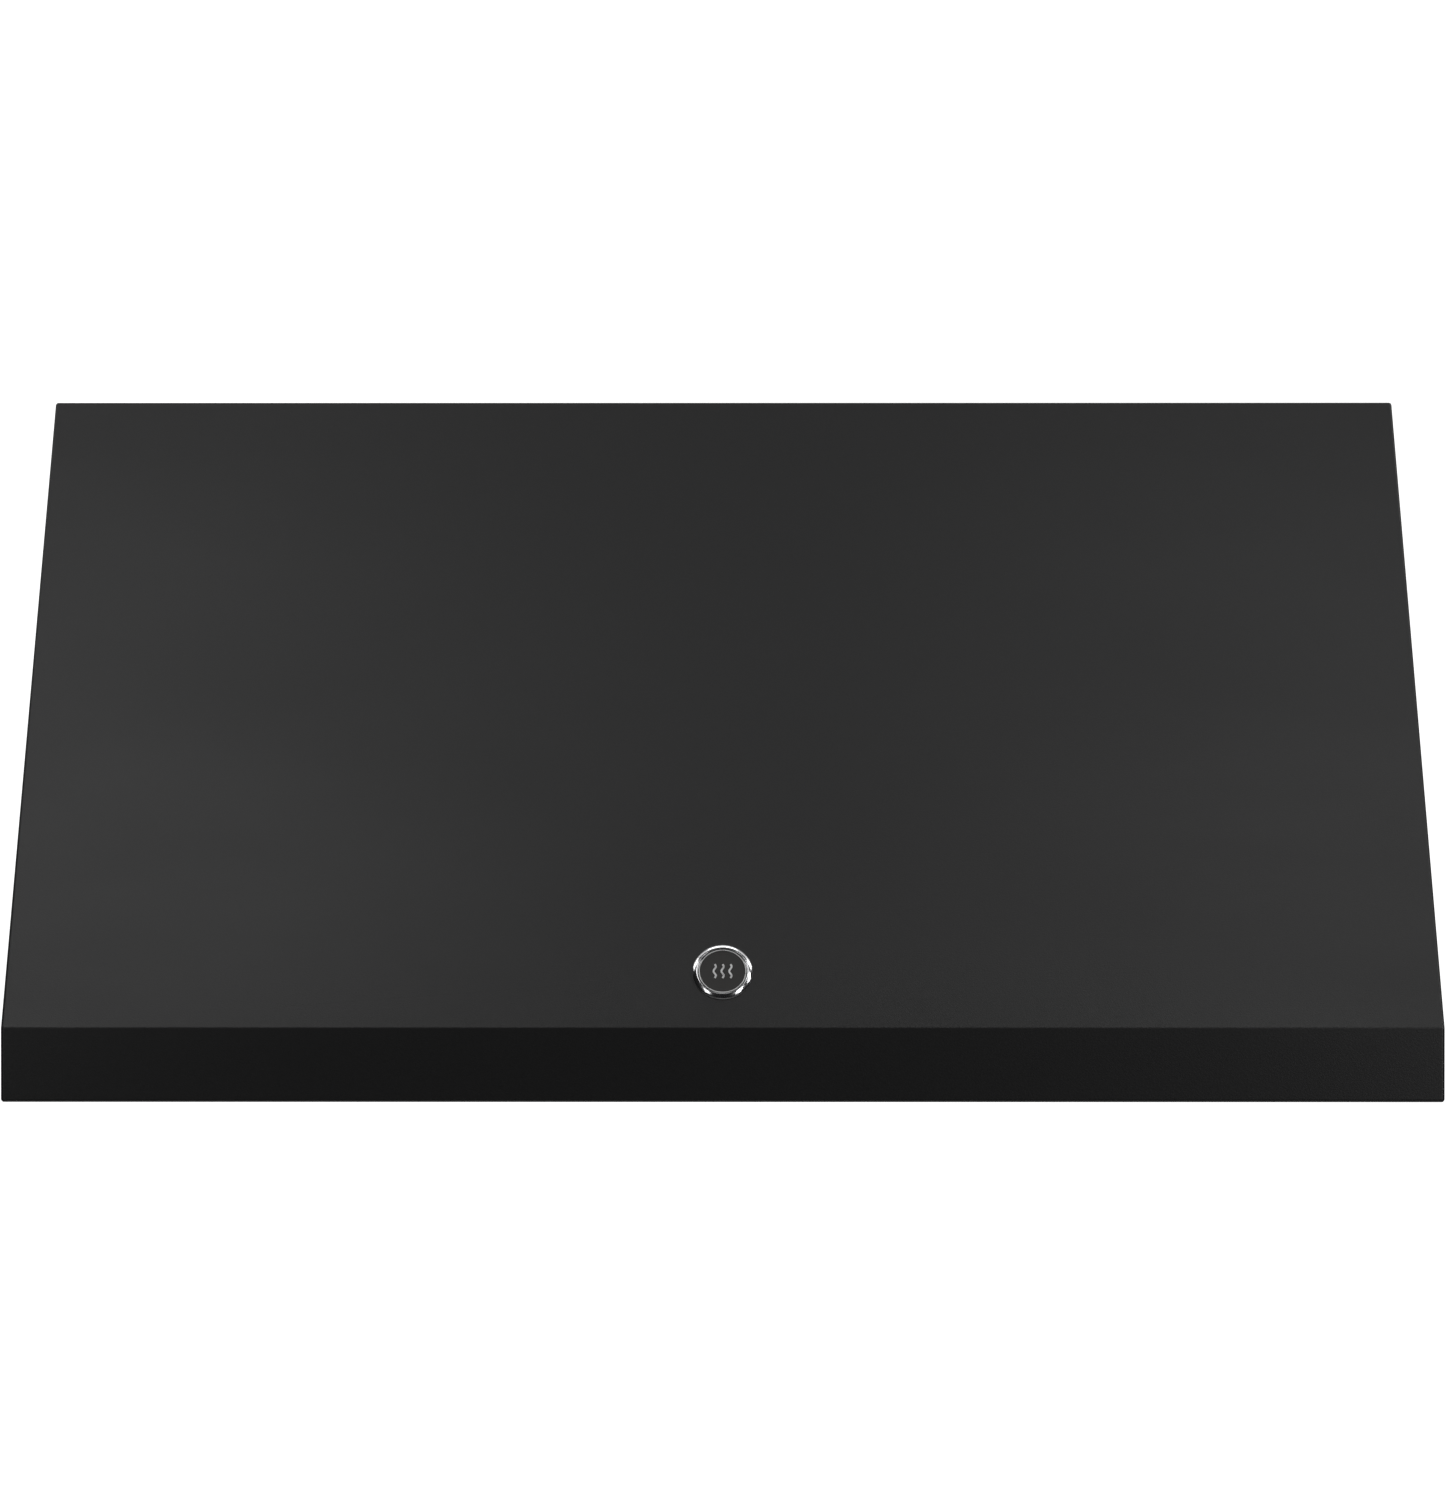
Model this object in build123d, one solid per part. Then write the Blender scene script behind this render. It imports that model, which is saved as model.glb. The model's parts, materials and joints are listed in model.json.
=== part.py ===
from build123d import *
import math
import os

# Wall-hung range hood of the under-cabinet canopy kind: a sheet-metal canopy with a short upright lip
# and a steep sloped front, a lamp and control panel behind the lip, three drop-down baffle filters,
# a double-inlet centrifugal blower and a round duct collar with a two-flap backdraught damper.
# Frame: millimetres, +Z up, the front faces -Y, X runs left to right as the cook sees it.
# Origin: middle of the bottom edge of the wall face, so the wall is the plane y = 0.

# Canopy
WIDTH = 911.0
DEPTH = 559.0
TOP_DEPTH = 330.0
HEIGHT = 457.0
LIP = 47.0
SHEET = 1.2
BEND = 2.0
INNER_BEND = 0.8
FLANGE = 18.0
SEAM = 0.3
LAP = 14.0

# Badge
BADGE_UP_SLOPE = 38.8
BADGE_R = 19.2
DISC_R = 15.4
STUD_R = 1.5
STUD_X = 9.0

# Lamp and control panel
PANEL_REAR = -446.0
PANEL_WALL_TOP = 74.0
FITTINGS_Y = -500.0
LAMP_X = 290.0
LAMP_HOLE_R = 33.0
LAMP_HOUSING_R = 36.0
CONTROL_LENGTH = 170.0
CONTROL_DEPTH = 50.0
BUTTON_X = (-60.0, -30.0, 0.0, 30.0, 60.0)
BUTTON_NAMES = ("lamp", "stop", "slow", "medium", "fast")
BUTTON_R = 9.0
BUTTON_FLANGE_Z = 2.7
BUTTON_TOP = 3.9
BUTTON_TRAVEL = 1.2
BOARD_Z = (9.2, 10.8)
CONTROL_BOX_TOP = 30.0

# Filters
FILTER_X = (-287.0, 0.0, 287.0)
SIDES = ("left", "centre", "right")
FILTER_WIDTH = 284.0
FILTER_THICK = 14.0
FILTER_FRONT = -440.0
FILTER_REAR = -54.0
FILTER_Z = 60.0
FILTER_RIM = 12.0
FILTER_END = 20.0
HINGE_Y = -48.0
HINGE_R = 2.5
BAIL_Y = -427.0
BAIL_Z = 48.5
BAIL_R = 2.0
BAIL_HALF = 32.0
BAIL_DROP = 28.0

# Blower
FAN_Y = -255.0
FAN_Z = 212.0
FAN_R = 90.0
FAN_INNER_R = 77.0
FAN_HALF = 74.0
RING_THICK = 3.0
DISC_HALF = 0.8
BLADES = 36
SCROLL_HALF = 90.0
SCROLL_R = 108.0
SPIRAL_STEP = 14.0
OUTLET_TOP = 335.0
TONGUE_U = 47.0
INLET_R = 74.0
SHAFT_R = 4.0
MOTOR_R = 45.0
MOTOR_X = (20.0, 98.0)
ARM_X = 100.0
ARM_REACH = 100.0
ARM_ANGLES = (30, 150, 270)

# Duct
DUCT_Y = -160.0
SOCKET_R = 102.0
SOCKET_LENGTH = 40.0
BARREL_R = 98.5
COLLAR_WALL = 1.2
COLLAR_RIM = 14.0
BARREL_BOTTOM = 366.0
PIN_Z = 388.0
PIN_R = 2.0
FLAP_R = 96.5
FLAP_THICK = 0.8
KNUCKLE_R = 3.4
KNUCKLE_LENGTH = 16.0

# Mounting holes
WALL_HOLE_X = 203.2
WALL_HOLE_Z = (150.0, 404.0)
CABINET_HOLE_X = 406.4
CABINET_HOLE_Y = (-260.0, -60.0)
MOUNT_HOLE_R = 3.5
CABLE_HOLE = (310.0, -70.0)
CABLE_HOLE_R = 11.1

# Wiring
BOX_X = (250.0, 370.0)
BOX_Y = (-120.0, -20.0)
BOX_LOW = 402.0
BOX_CABLE_Z = 425.0
CABLE_R = 3.0
CONTROL_CABLE_Y = -508.0
LAMP_CABLE_Y = -492.0
CONTROL_CABLE_Z = 20.0
CLIP_UP = (120.0, 230.0, 340.0)
DRIVER_X = 310.0
DRIVER_FRONT = -32.0
DRIVER_Z = (330.0, 370.0)

HALF = WIDTH / 2
SLOPE = math.atan2(HEIGHT - LIP, DEPTH - TOP_DEPTH)
SIN_SLOPE = math.sin(SLOPE)
TAN_SLOPE = math.tan(SLOPE)
CEILING = HEIGHT - SHEET
SHOULDER_Z = CEILING - SOCKET_LENGTH
FAR = 2000.0


def block(x, y, z):
    """A box between the two ends given along each axis."""
    size = [high - low for low, high in (x, y, z)]
    middle = [(low + high) / 2 for low, high in (x, y, z)]
    return Pos(*middle) * Box(*size)


def rod_x(radius, x, y, z):
    """A cylinder along X between the two ends in x."""
    return Pos((x[0] + x[1]) / 2, y, z) * Rot(0, 90, 0) * Cylinder(radius, x[1] - x[0])


def rod_z(radius, x, y, z):
    """A cylinder along Z between the two ends in z."""
    return Pos(x, y, (z[0] + z[1]) / 2) * Cylinder(radius, z[1] - z[0])


def across(points, x):
    """A prism along X with this outline of (y, z) points."""
    face = make_face(Polyline(*points, close=True))
    return extrude(Plane.YZ.offset(x[0]) * face, amount=x[1] - x[0])


def slope_y(z, inset=0.0):
    """Y of the sloped front at height z, the given distance behind its outer face."""
    return -DEPTH + (z - LIP) / TAN_SLOPE + inset / SIN_SLOPE


def side_outline(inset, low, high, rear):
    """Side view of the space behind the lip and slope, inset from their outer faces."""
    bend_z = LIP - inset * (1 - SIN_SLOPE) / math.cos(SLOPE)
    front = -DEPTH + inset
    return [(front, low), (front, bend_z), (slope_y(high, inset), high), (rear, high), (rear, low)]


def on_slope(up, x=0.0):
    """Plane on the sloped front, the given distance up from the bend, facing outwards."""
    y = -DEPTH + up * math.cos(SLOPE)
    z = LIP + up * SIN_SLOPE
    return Plane(origin=(x, y, z), x_dir=(1, 0, 0), z_dir=(0, -SIN_SLOPE, math.cos(SLOPE)))


def folded(solid, radius, keep_sharp):
    """Rounds every edge of a folded sheet except those in the plane y = keep_sharp."""
    edges = [e for e in solid.edges() if any(abs(v.Y - keep_sharp) > 0.01 for v in e.vertices())]
    return fillet(edges, radius)


def canopy_shell():
    """The whole outer sheet in one piece, with its inward bottom flange."""
    outer = folded(across(side_outline(0, 0, HEIGHT, 0), (-HALF, HALF)), BEND, 0)
    inside = HALF - SHEET
    hollow = across(side_outline(SHEET, SHEET, CEILING, -SHEET), (-inside, inside))
    hollow = folded(hollow, INNER_BEND, -SHEET)
    mouth_x = HALF - FLANGE
    mouth = block((-mouth_x, mouth_x), (-DEPTH + FLANGE, -FLANGE), (-1, 2 * SHEET))
    return outer - hollow - mouth


def behind_front(inset):
    """Everything further than inset behind the lip and slope."""
    return across(side_outline(inset, -10, HEIGHT + 10, 10), (-FAR / 2, FAR / 2))


def countersunk(x, y, z):
    """A flat-head screw driven upwards, its head flush at height z."""
    head = Pos(x, y, z + SHEET / 2) * Cone(3.2, 1.6, SHEET)
    return head + rod_z(1.6, x, y, (z + SHEET, z + 9))


PANEL_SCREWS = [(x, -DEPTH + FLANGE / 2) for x in (-420, -235, -110, 110, 235, 420)]


def front_canopy(shell):
    """Sloped front, lip and bottom flange, folded back round the sides and over the top."""
    part = shell - behind_front(FLANGE)
    for x, y in PANEL_SCREWS:
        part -= countersunk(x, y, 0)
    for x in (-STUD_X, STUD_X):
        part -= on_slope(BADGE_UP_SLOPE, x) * Cylinder(STUD_R + 0.2, 20)
    return part


def side_panel(shell, sign):
    """One cheek with flanges turned in along its top, back and bottom."""
    edge = sorted((sign * (HALF - FLANGE), sign * (HALF + 1)))
    return (shell & behind_front(FLANGE + SEAM)) & block(edge, (-FAR, FAR), (-FAR, FAR))


def middle_span():
    """X range between the two side panels' flanges."""
    reach = HALF - FLANGE - SEAM
    return (-reach, reach)


def top_panel():
    """Flush top plate with joggled laps under its neighbours, a rear flange and the duct hole."""
    span = middle_span()
    front = slope_y(HEIGHT) + (FLANGE + SEAM) / SIN_SLOPE
    plate = block(span, (front, 0), (CEILING, HEIGHT))
    lap_x = span[1] + LAP
    lap_zone = block((-lap_x, lap_x), (front - LAP, -4 * SHEET), (CEILING - SHEET, CEILING))
    inside_x = span[1] - LAP
    plate += lap_zone - block((-inside_x, inside_x), (front + LAP, 0), (CEILING - FLANGE, HEIGHT))
    plate += block(span, (-2 * SHEET, -SHEET), (CEILING - FLANGE, CEILING + 0.1))
    plate -= rod_z(SOCKET_R + 1.5, 0, DUCT_Y, (CEILING - 20, HEIGHT + 1))
    plate -= rod_z(CABLE_HOLE_R, *CABLE_HOLE, (CEILING - 20, HEIGHT + 1))
    for x in (-CABINET_HOLE_X, CABINET_HOLE_X):
        for y in CABINET_HOLE_Y:
            plate -= rod_z(MOUNT_HOLE_R, x, y, (CEILING - 20, HEIGHT + 1))
    return plate


def back_panel():
    """Flush back plate with laps beside the side panels' flanges, a bottom flange and wall holes."""
    span = middle_span()
    high = CEILING - SEAM
    plate = block(span, (-SHEET, 0), (0, high)) + block(span, (-FLANGE, 0), (0, SHEET))
    for sign in (-1, 1):
        lap_x = sorted((sign * (span[1] - LAP), sign * (span[1] + LAP)))
        plate += block(lap_x, (-2 * SHEET, -SHEET), (2 * SHEET, CEILING - FLANGE - SEAM))
        for z in WALL_HOLE_Z:
            centre = Pos(sign * WALL_HOLE_X, 0, z) * Rot(90, 0, 0)
            plate -= centre * Cylinder(MOUNT_HOLE_R, 20)
    return plate


def badge_bezel():
    """Domed ring with two studs that pass through the sloped front."""
    section = make_face(
        [
            Line((DISC_R + 0.4, 0), (DISC_R + 0.4, 2.2)),
            Line((DISC_R + 0.4, 2.2), (DISC_R + 1.2, 2.6)),
            ThreePointArc((DISC_R + 1.2, 2.6), (BADGE_R - 0.8, 1.9), (BADGE_R, 0.5)),
            Line((BADGE_R, 0.5), (BADGE_R, 0)),
            Line((BADGE_R, 0), (DISC_R + 0.4, 0)),
        ]
    )
    ring = revolve(Plane.XZ * section, Axis.Z)
    ring += Pos(0, 0, 0.3) * Cylinder(DISC_R + 1, 0.6)
    for x in (-STUD_X, STUD_X):
        ring += rod_z(STUD_R, x, 0, (-9, 0.3))
    return on_slope(BADGE_UP_SLOPE) * ring


def badge_disc():
    """Dark disc that sits in the bezel."""
    return on_slope(BADGE_UP_SLOPE) * Pos(0, 0, 1.1) * Cylinder(DISC_R, 1.0)


def badge_emblem():
    """Raised rim and three rising wavy strokes, the plain sign for steam."""
    low = 1.6
    pieces = [Pos(0, 0, low + 0.2) * (Cylinder(DISC_R - 0.2, 0.4) - Cylinder(DISC_R - 0.9, 0.4))]
    stroke, step = 1.2, 3.2
    for x in (-5.0, 0.0, 5.0):
        points = [(x, -1.5 * step + i * step) for i in range(4)]
        bulge = (0.75, -0.75, 0.75)
        arcs = [
            ThreePointArc(a, ((a[0] + b[0]) / 2 + side, (a[1] + b[1]) / 2), b)
            for a, b, side in zip(points, points[1:], bulge)
        ]
        wave = trace(Wire(arcs), stroke)
        pieces.append(Pos(0, 0, low) * extrude(wave, amount=0.4))
    return on_slope(BADGE_UP_SLOPE) * Compound(children=pieces)


def light_panel():
    """Tray behind the lip: flat underside, front upstand, and the rear wall the filters close on."""
    gap = INNER_BEND + 0.2
    reach = HALF - SHEET - gap
    front = -DEPTH + SHEET + gap
    low = SHEET
    part = block((-reach, reach), (front, PANEL_REAR), (low, low + SHEET))
    part += block((-reach, reach), (front, front + SHEET), (low, 26))
    part += block((-reach, reach), (PANEL_REAR, PANEL_REAR + SHEET), (low, PANEL_WALL_TOP))
    part += block(
        (-reach, reach), (PANEL_REAR - 14, PANEL_REAR), (PANEL_WALL_TOP - SHEET, PANEL_WALL_TOP)
    )
    for x in (-LAMP_X, LAMP_X):
        part -= rod_z(LAMP_HOLE_R, x, FITTINGS_Y, (0, 10))
    half_x, half_y = CONTROL_LENGTH / 2 - 5, CONTROL_DEPTH / 2 - 5
    part -= block(
        (-half_x, half_x), (FITTINGS_Y - half_y, FITTINGS_Y + half_y), (0, 10)
    )
    for x, y in PANEL_SCREWS:
        part -= rod_z(1.6, x, y, (0, 10))
    return part


def lamp_bezel(x):
    """Trim ring under the panel with a collar that snaps through its hole."""
    ring = rod_z(39, x, FITTINGS_Y, (0.1, SHEET)) - rod_z(29, x, FITTINGS_Y, (0, 5))
    ring = chamfer(ring.faces().sort_by(Axis.Z)[0].edges(), 0.5)
    collar = rod_z(LAMP_HOLE_R - 0.2, x, FITTINGS_Y, (SHEET, 9))
    return ring + (collar - rod_z(31, x, FITTINGS_Y, (0, 10)))


def lamp_lens(x):
    """Frosted disc that rests on the bezel's inner edge."""
    disc = rod_z(30.8, x, FITTINGS_Y, (SHEET, 4.2))
    return chamfer(disc.faces().sort_by(Axis.Z)[-1].edges(), 0.4)


def lamp_housing(x):
    """Finned cup over the lamp, closed at the top."""
    low = 2 * SHEET
    inner = LAMP_HOUSING_R - 2
    cup = rod_z(LAMP_HOUSING_R, x, FITTINGS_Y, (low, 24)) - rod_z(inner, x, FITTINGS_Y, (0, 22))
    for i in range(9):
        y = FITTINGS_Y + (i - 4) * 7
        half = math.sqrt(inner**2 - (y - FITTINGS_Y) ** 2)
        cup += block((x - half, x + half), (y - 0.9, y + 0.9), (23.5, 34))
    return cup


def button_at(x):
    """Push cap with the flange that keeps it in the bezel."""
    cap = rod_z(BUTTON_R - 0.3, x, FITTINGS_Y, (0.1, BUTTON_FLANGE_Z))
    cap = chamfer(cap.faces().sort_by(Axis.Z)[0].edges(), 0.4)
    return cap + rod_z(BUTTON_R + 1.5, x, FITTINGS_Y, (BUTTON_FLANGE_Z, BUTTON_TOP))


def control_bezel():
    """Plate under the panel with a hole for each button and a rim through the panel's cut-out."""
    half_x, half_y = CONTROL_LENGTH / 2, CONTROL_DEPTH / 2
    plate = block((-half_x, half_x), (FITTINGS_Y - half_y, FITTINGS_Y + half_y), (0.1, SHEET))
    plate = fillet(plate.edges().filter_by(Axis.Z), 8)
    plate = chamfer(plate.faces().sort_by(Axis.Z)[0].edges(), 0.5)
    in_x, in_y = half_x - 5.2, half_y - 5.2
    plate += block((-in_x, in_x), (FITTINGS_Y - in_y, FITTINGS_Y + in_y), (SHEET, 2 * SHEET))
    for x in BUTTON_X:
        plate -= rod_z(BUTTON_R, x, FITTINGS_Y, (-1, 5))
    return plate


def control_box():
    """Cover over the switches, open towards the bezel, with posts for the board and cable holes."""
    low, high, wall = 2 * SHEET, CONTROL_BOX_TOP, 2.0
    half_x, half_y = CONTROL_LENGTH / 2 + 4, CONTROL_DEPTH / 2 + 2
    y = (FITTINGS_Y - half_y, FITTINGS_Y + half_y)
    box = block((-half_x, half_x), y, (low, high))
    box = fillet(box.edges().filter_by(Axis.Z), 4)
    inner_y = (y[0] + wall, y[1] - wall)
    box -= block((-half_x + wall, half_x - wall), inner_y, (low - 1, high - wall))
    for x in (-half_x + 13, half_x - 13):
        for post_y in (FITTINGS_Y - 16, FITTINGS_Y + 16):
            box += rod_z(3, x, post_y, (BOARD_Z[1], high - wall / 2))
    hole = CABLE_R + 0.6
    box -= rod_x(hole, (-half_x - 5, -half_x + 5), LAMP_CABLE_Y, CONTROL_CABLE_Z)
    for hole_y in (LAMP_CABLE_Y, CONTROL_CABLE_Y):
        box -= rod_x(hole, (half_x - 5, half_x + 5), hole_y, CONTROL_CABLE_Z)
    return box


def control_board():
    """Circuit board with a switch over each button and parts on its upper side."""
    half_x, half_y = CONTROL_LENGTH / 2 - 2, CONTROL_DEPTH / 2 - 4
    y = (FITTINGS_Y - half_y, FITTINGS_Y + half_y)
    board = block((-half_x, half_x), y, BOARD_Z)
    for x in BUTTON_X:
        board += block((x - 3, x + 3), (FITTINGS_Y - 3, FITTINGS_Y + 3), (6.0, BOARD_Z[0]))
        board += rod_z(1.7, x, FITTINGS_Y, (BUTTON_TOP + BUTTON_TRAVEL + 0.3, 6.0))
        board += block((x - 7, x + 5), (FITTINGS_Y - 5, FITTINGS_Y + 5), (BOARD_Z[1], 15))
    return board


def filter_frame(cx):
    """Channel frame with a hinge rod along its rear edge and two loops for the bail handle."""
    half = FILTER_WIDTH / 2
    low, high = FILTER_Z - FILTER_THICK / 2, FILTER_Z + FILTER_THICK / 2
    frame = block((cx - half, cx + half), (FILTER_FRONT, FILTER_REAR), (low, high))
    frame = fillet(frame.edges().filter_by(Axis.Z), 4)
    frame -= block(
        (cx - half + 1, cx + half - 1), (FILTER_FRONT + 1, FILTER_REAR - 1), (low + 1, high - 1)
    )
    frame -= block(
        (cx - half + FILTER_RIM, cx + half - FILTER_RIM),
        (FILTER_FRONT + FILTER_END, FILTER_REAR - FILTER_END),
        (low - 1, high + 1),
    )
    frame += rod_x(HINGE_R, (cx - 120, cx + 120), HINGE_Y, FILTER_Z)
    for side in (-1, 1):
        tab_x = sorted((cx + side * 40, cx + side * 60))
        frame += block(tab_x, (FILTER_REAR - 0.5, HINGE_Y), (FILTER_Z - 1.5, FILTER_Z + 1.5))
        loop_x = sorted((cx + side * (BAIL_HALF + 3.5), cx + side * (BAIL_HALF + 8.5)))
        loop = block(loop_x, (BAIL_Y - 4, BAIL_Y + 4), (BAIL_Z - 4, low))
        loop = fillet(
            loop.edges().filter_by(Axis.X).group_by(Axis.Z)[0],
            3.5,
        )
        frame += loop - rod_x(BAIL_R + 0.05, (cx - half, cx + half), BAIL_Y, BAIL_Z)
    return frame


def filter_baffles(cx):
    """Lower troughs that catch grease and upper channels over the gaps between them."""
    pitch, width, wall, lip = 32.4, 25.0, 0.8, 4.6
    reach_x = FILTER_WIDTH / 2 - 1.4
    y = (FILTER_FRONT + 1.4, FILTER_REAR - 1.4)
    strip = 8.0

    def sheet(centres, base, direction):
        """Channels side by side, joined by a strip at each end."""
        z_base = sorted((base, base + direction * wall))
        z_lip = sorted((base, base + direction * (wall + lip)))
        made = block((cx - reach_x, cx + reach_x), (y[0], y[0] + strip), z_base)
        made += block((cx - reach_x, cx + reach_x), (y[1] - strip, y[1]), z_base)
        for x in centres:
            left, right = max(x - width / 2, -reach_x), min(x + width / 2, reach_x)
            made += block((cx + left, cx + right), y, z_base)
            made += block((cx + left, cx + left + wall), y, z_lip)
            made += block((cx + right - wall, cx + right), y, z_lip)
        return made

    face = FILTER_THICK / 2 - 1
    lower = sheet([i * pitch for i in range(-4, 5)], FILTER_Z - face, 1)
    upper = sheet([(i + 0.5) * pitch for i in range(-4, 4)], FILTER_Z + face, -1)
    return Compound(children=[lower, upper])


def filter_bail(cx):
    """Wire handle that swings in the frame's two loops."""
    out, bottom = BAIL_HALF + 10, BAIL_Z - BAIL_DROP
    points = [
        (cx - out, BAIL_Y, BAIL_Z),
        (cx - BAIL_HALF, BAIL_Y, BAIL_Z),
        (cx - BAIL_HALF, BAIL_Y, bottom),
        (cx + BAIL_HALF, BAIL_Y, bottom),
        (cx + BAIL_HALF, BAIL_Y, BAIL_Z),
        (cx + out, BAIL_Y, BAIL_Z),
    ]
    path = FilletPolyline(*points, radius=[2.8, 6, 6, 2.8])
    start = Plane(origin=points[0], z_dir=(1, 0, 0))
    return sweep(start * Circle(BAIL_R), path=path)


def filter_springs(cx):
    """Bowed leaf springs on the front edge that press on the panel's rear wall."""
    bow, half, thick = 4.2, 5.5, 0.5
    outer = ThreePointArc(
        (FILTER_FRONT, FILTER_Z - half),
        (FILTER_FRONT - bow, FILTER_Z),
        (FILTER_FRONT, FILTER_Z + half),
    )
    inner = ThreePointArc(
        (FILTER_FRONT, FILTER_Z + half - thick),
        (FILTER_FRONT - bow + thick, FILTER_Z),
        (FILTER_FRONT, FILTER_Z - half + thick),
    )
    face = make_face([outer, Line(outer @ 1, inner @ 0), inner, Line(inner @ 1, outer @ 0)])
    made = [
        extrude(Plane.YZ.offset(cx + x - 9) * face, amount=18) for x in (-100.0, 100.0)
    ]
    return Compound(children=made)


def rear_filter_rail():
    """Shelf on the back panel with a cradle for each filter's hinge rod, notched for its tabs."""
    reach = middle_span()[1] - LAP - 1
    ring_in, ring_out = HINGE_R + 0.3, HINGE_R + 0.3 + SHEET
    shelf_low = FILTER_Z - ring_out
    rail = block((-reach, reach), (HINGE_Y, -SHEET), (shelf_low, shelf_low + SHEET))
    rail += block((-reach, reach), (-2 * SHEET, -SHEET), (shelf_low - 24, shelf_low + SHEET))
    lip = rod_x(ring_out, (-reach, reach), HINGE_Y, FILTER_Z)
    lip -= rod_x(ring_in, (-FAR, FAR), HINGE_Y, FILTER_Z)
    lip &= block((-FAR, FAR), (HINGE_Y - 10, HINGE_Y), (FILTER_Z - 10, FILTER_Z - 0.8))
    rail += lip
    for cx in FILTER_X:
        for side in (-1, 1):
            notch_x = sorted((cx + side * 35, cx + side * 65))
            rail -= block(notch_x, (HINGE_Y - 10, HINGE_Y + 8), (0, 100))
    return rail


def filter_ledges():
    """Angles along both sides that close the gap beside the filters."""
    wall = HALF - SHEET
    inner = FILTER_X[-1] + FILTER_WIDTH / 2 - 3
    y = (PANEL_REAR + SHEET + 1, -3 * SHEET - 1)
    low = FILTER_Z + FILTER_THICK / 2 + 1
    made = []
    for sign in (-1, 1):
        shelf = block(sorted((sign * inner, sign * wall)), y, (low, low + SHEET))
        made.append(shelf + block(sorted((sign * (wall - SHEET), sign * wall)), y, (low, low + 26)))
    return Compound(children=made)


def scroll_face(grow, top):
    """Scroll outline seen along the shaft, grown outwards, its outlet cut at height top."""
    half = SPIRAL_STEP / 2
    radii = [SCROLL_R + grow + i * SPIRAL_STEP for i in range(3)]
    start = math.acos((TONGUE_U - grow + half) / radii[0])
    start_v = radii[0] * math.sin(start) - half
    first = CenterArc((-half, -half), radii[0], math.degrees(start), 180 - math.degrees(start))
    second = CenterArc((half, -half), radii[1], 180, 90)
    third = CenterArc((half, half), radii[2], 270, 90)
    rear, tongue = radii[2] + half, TONGUE_U - grow
    rise = Polyline((rear, half), (rear, top), (tongue, top), (tongue, start_v))
    return Plane.YZ * Pos(FAN_Y, FAN_Z) * make_face([first, second, third, rise])


def scroll_wrap():
    """Curved strip between the two side plates, turned out at the outlet."""
    top = OUTLET_TOP - FAN_Z
    inner = SCROLL_HALF - 1
    ring = scroll_face(1, top) - scroll_face(0, top + 1)
    wrap = Pos(-inner, 0, 0) * extrude(ring, amount=2 * inner)
    rear = FAN_Y + SCROLL_R + 2.5 * SPIRAL_STEP
    front = FAN_Y + TONGUE_U
    wrap += block((-inner, inner), (rear, rear + 12), (OUTLET_TOP - 1, OUTLET_TOP))
    return wrap + block((-inner, inner), (front - 12, front), (OUTLET_TOP - 1, OUTLET_TOP))


def scroll_plate(sign):
    """Side plate of the scroll with its inlet hole and a flange at the outlet."""
    top = OUTLET_TOP - FAN_Z
    low = SCROLL_HALF - 1 if sign > 0 else -SCROLL_HALF
    plate = Pos(low, 0, 0) * extrude(scroll_face(5, top), amount=1)
    plate -= rod_x(INLET_R + 8, (-FAR, FAR), FAN_Y, FAN_Z)
    flange_x = sorted((sign * (SCROLL_HALF - 1), sign * (SCROLL_HALF + 12)))
    front = FAN_Y + TONGUE_U
    rear = FAN_Y + SCROLL_R + 2.5 * SPIRAL_STEP
    return plate + block(flange_x, (front, rear), (OUTLET_TOP - 1, OUTLET_TOP))


def inlet_ring(sign):
    """Bell-mouth that leads air from the side plate into the wheel."""
    throat = FAN_HALF + 2.5
    section = make_face(
        [
            Line((throat, INLET_R), (throat, INLET_R + 1)),
            Line((throat, INLET_R + 1), (84, INLET_R + 1)),
            ThreePointArc((84, INLET_R + 1), (89.5, INLET_R + 5), (91, INLET_R + 10)),
            Line((91, INLET_R + 10), (91, INLET_R + 16)),
            Line((91, INLET_R + 16), (92, INLET_R + 16)),
            Line((92, INLET_R + 16), (92, INLET_R + 10)),
            ThreePointArc((92, INLET_R + 10), (90.3, INLET_R + 4), (84, INLET_R)),
            Line((84, INLET_R), (throat, INLET_R)),
        ]
    )
    ring = revolve(Plane.XY * section, Axis.X)
    ring = Pos(0, FAN_Y, FAN_Z) * ring
    flange = rod_x(INLET_R + 16, (SCROLL_HALF, 92), FAN_Y, FAN_Z)
    ring += flange - rod_x(INLET_R + 10.5, (-FAR, FAR), FAN_Y, FAN_Z)
    return ring if sign > 0 else mirror(ring, about=Plane.YZ)


def fan_blade(angle):
    """Forward-curved blade section at this angle round the shaft."""
    thick = 0.7

    def polar(radius, turn):
        return (radius * math.cos(math.radians(turn)), radius * math.sin(math.radians(turn)))

    lean = math.degrees(thick / FAN_R)
    near = [polar(FAN_INNER_R, 0), polar(84, 2.2), polar(FAN_R - 0.6, 7.0)]
    far = [polar(FAN_INNER_R, lean), polar(84, 2.2 + lean), polar(FAN_R - 0.6, 7.0 + lean)]
    face = make_face(
        [
            ThreePointArc(*near),
            Line(near[2], far[2]),
            ThreePointArc(*reversed(far)),
            Line(far[0], near[0]),
        ]
    )
    return Plane.YZ * Pos(FAN_Y, FAN_Z) * Rot(0, 0, angle) * face


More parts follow.
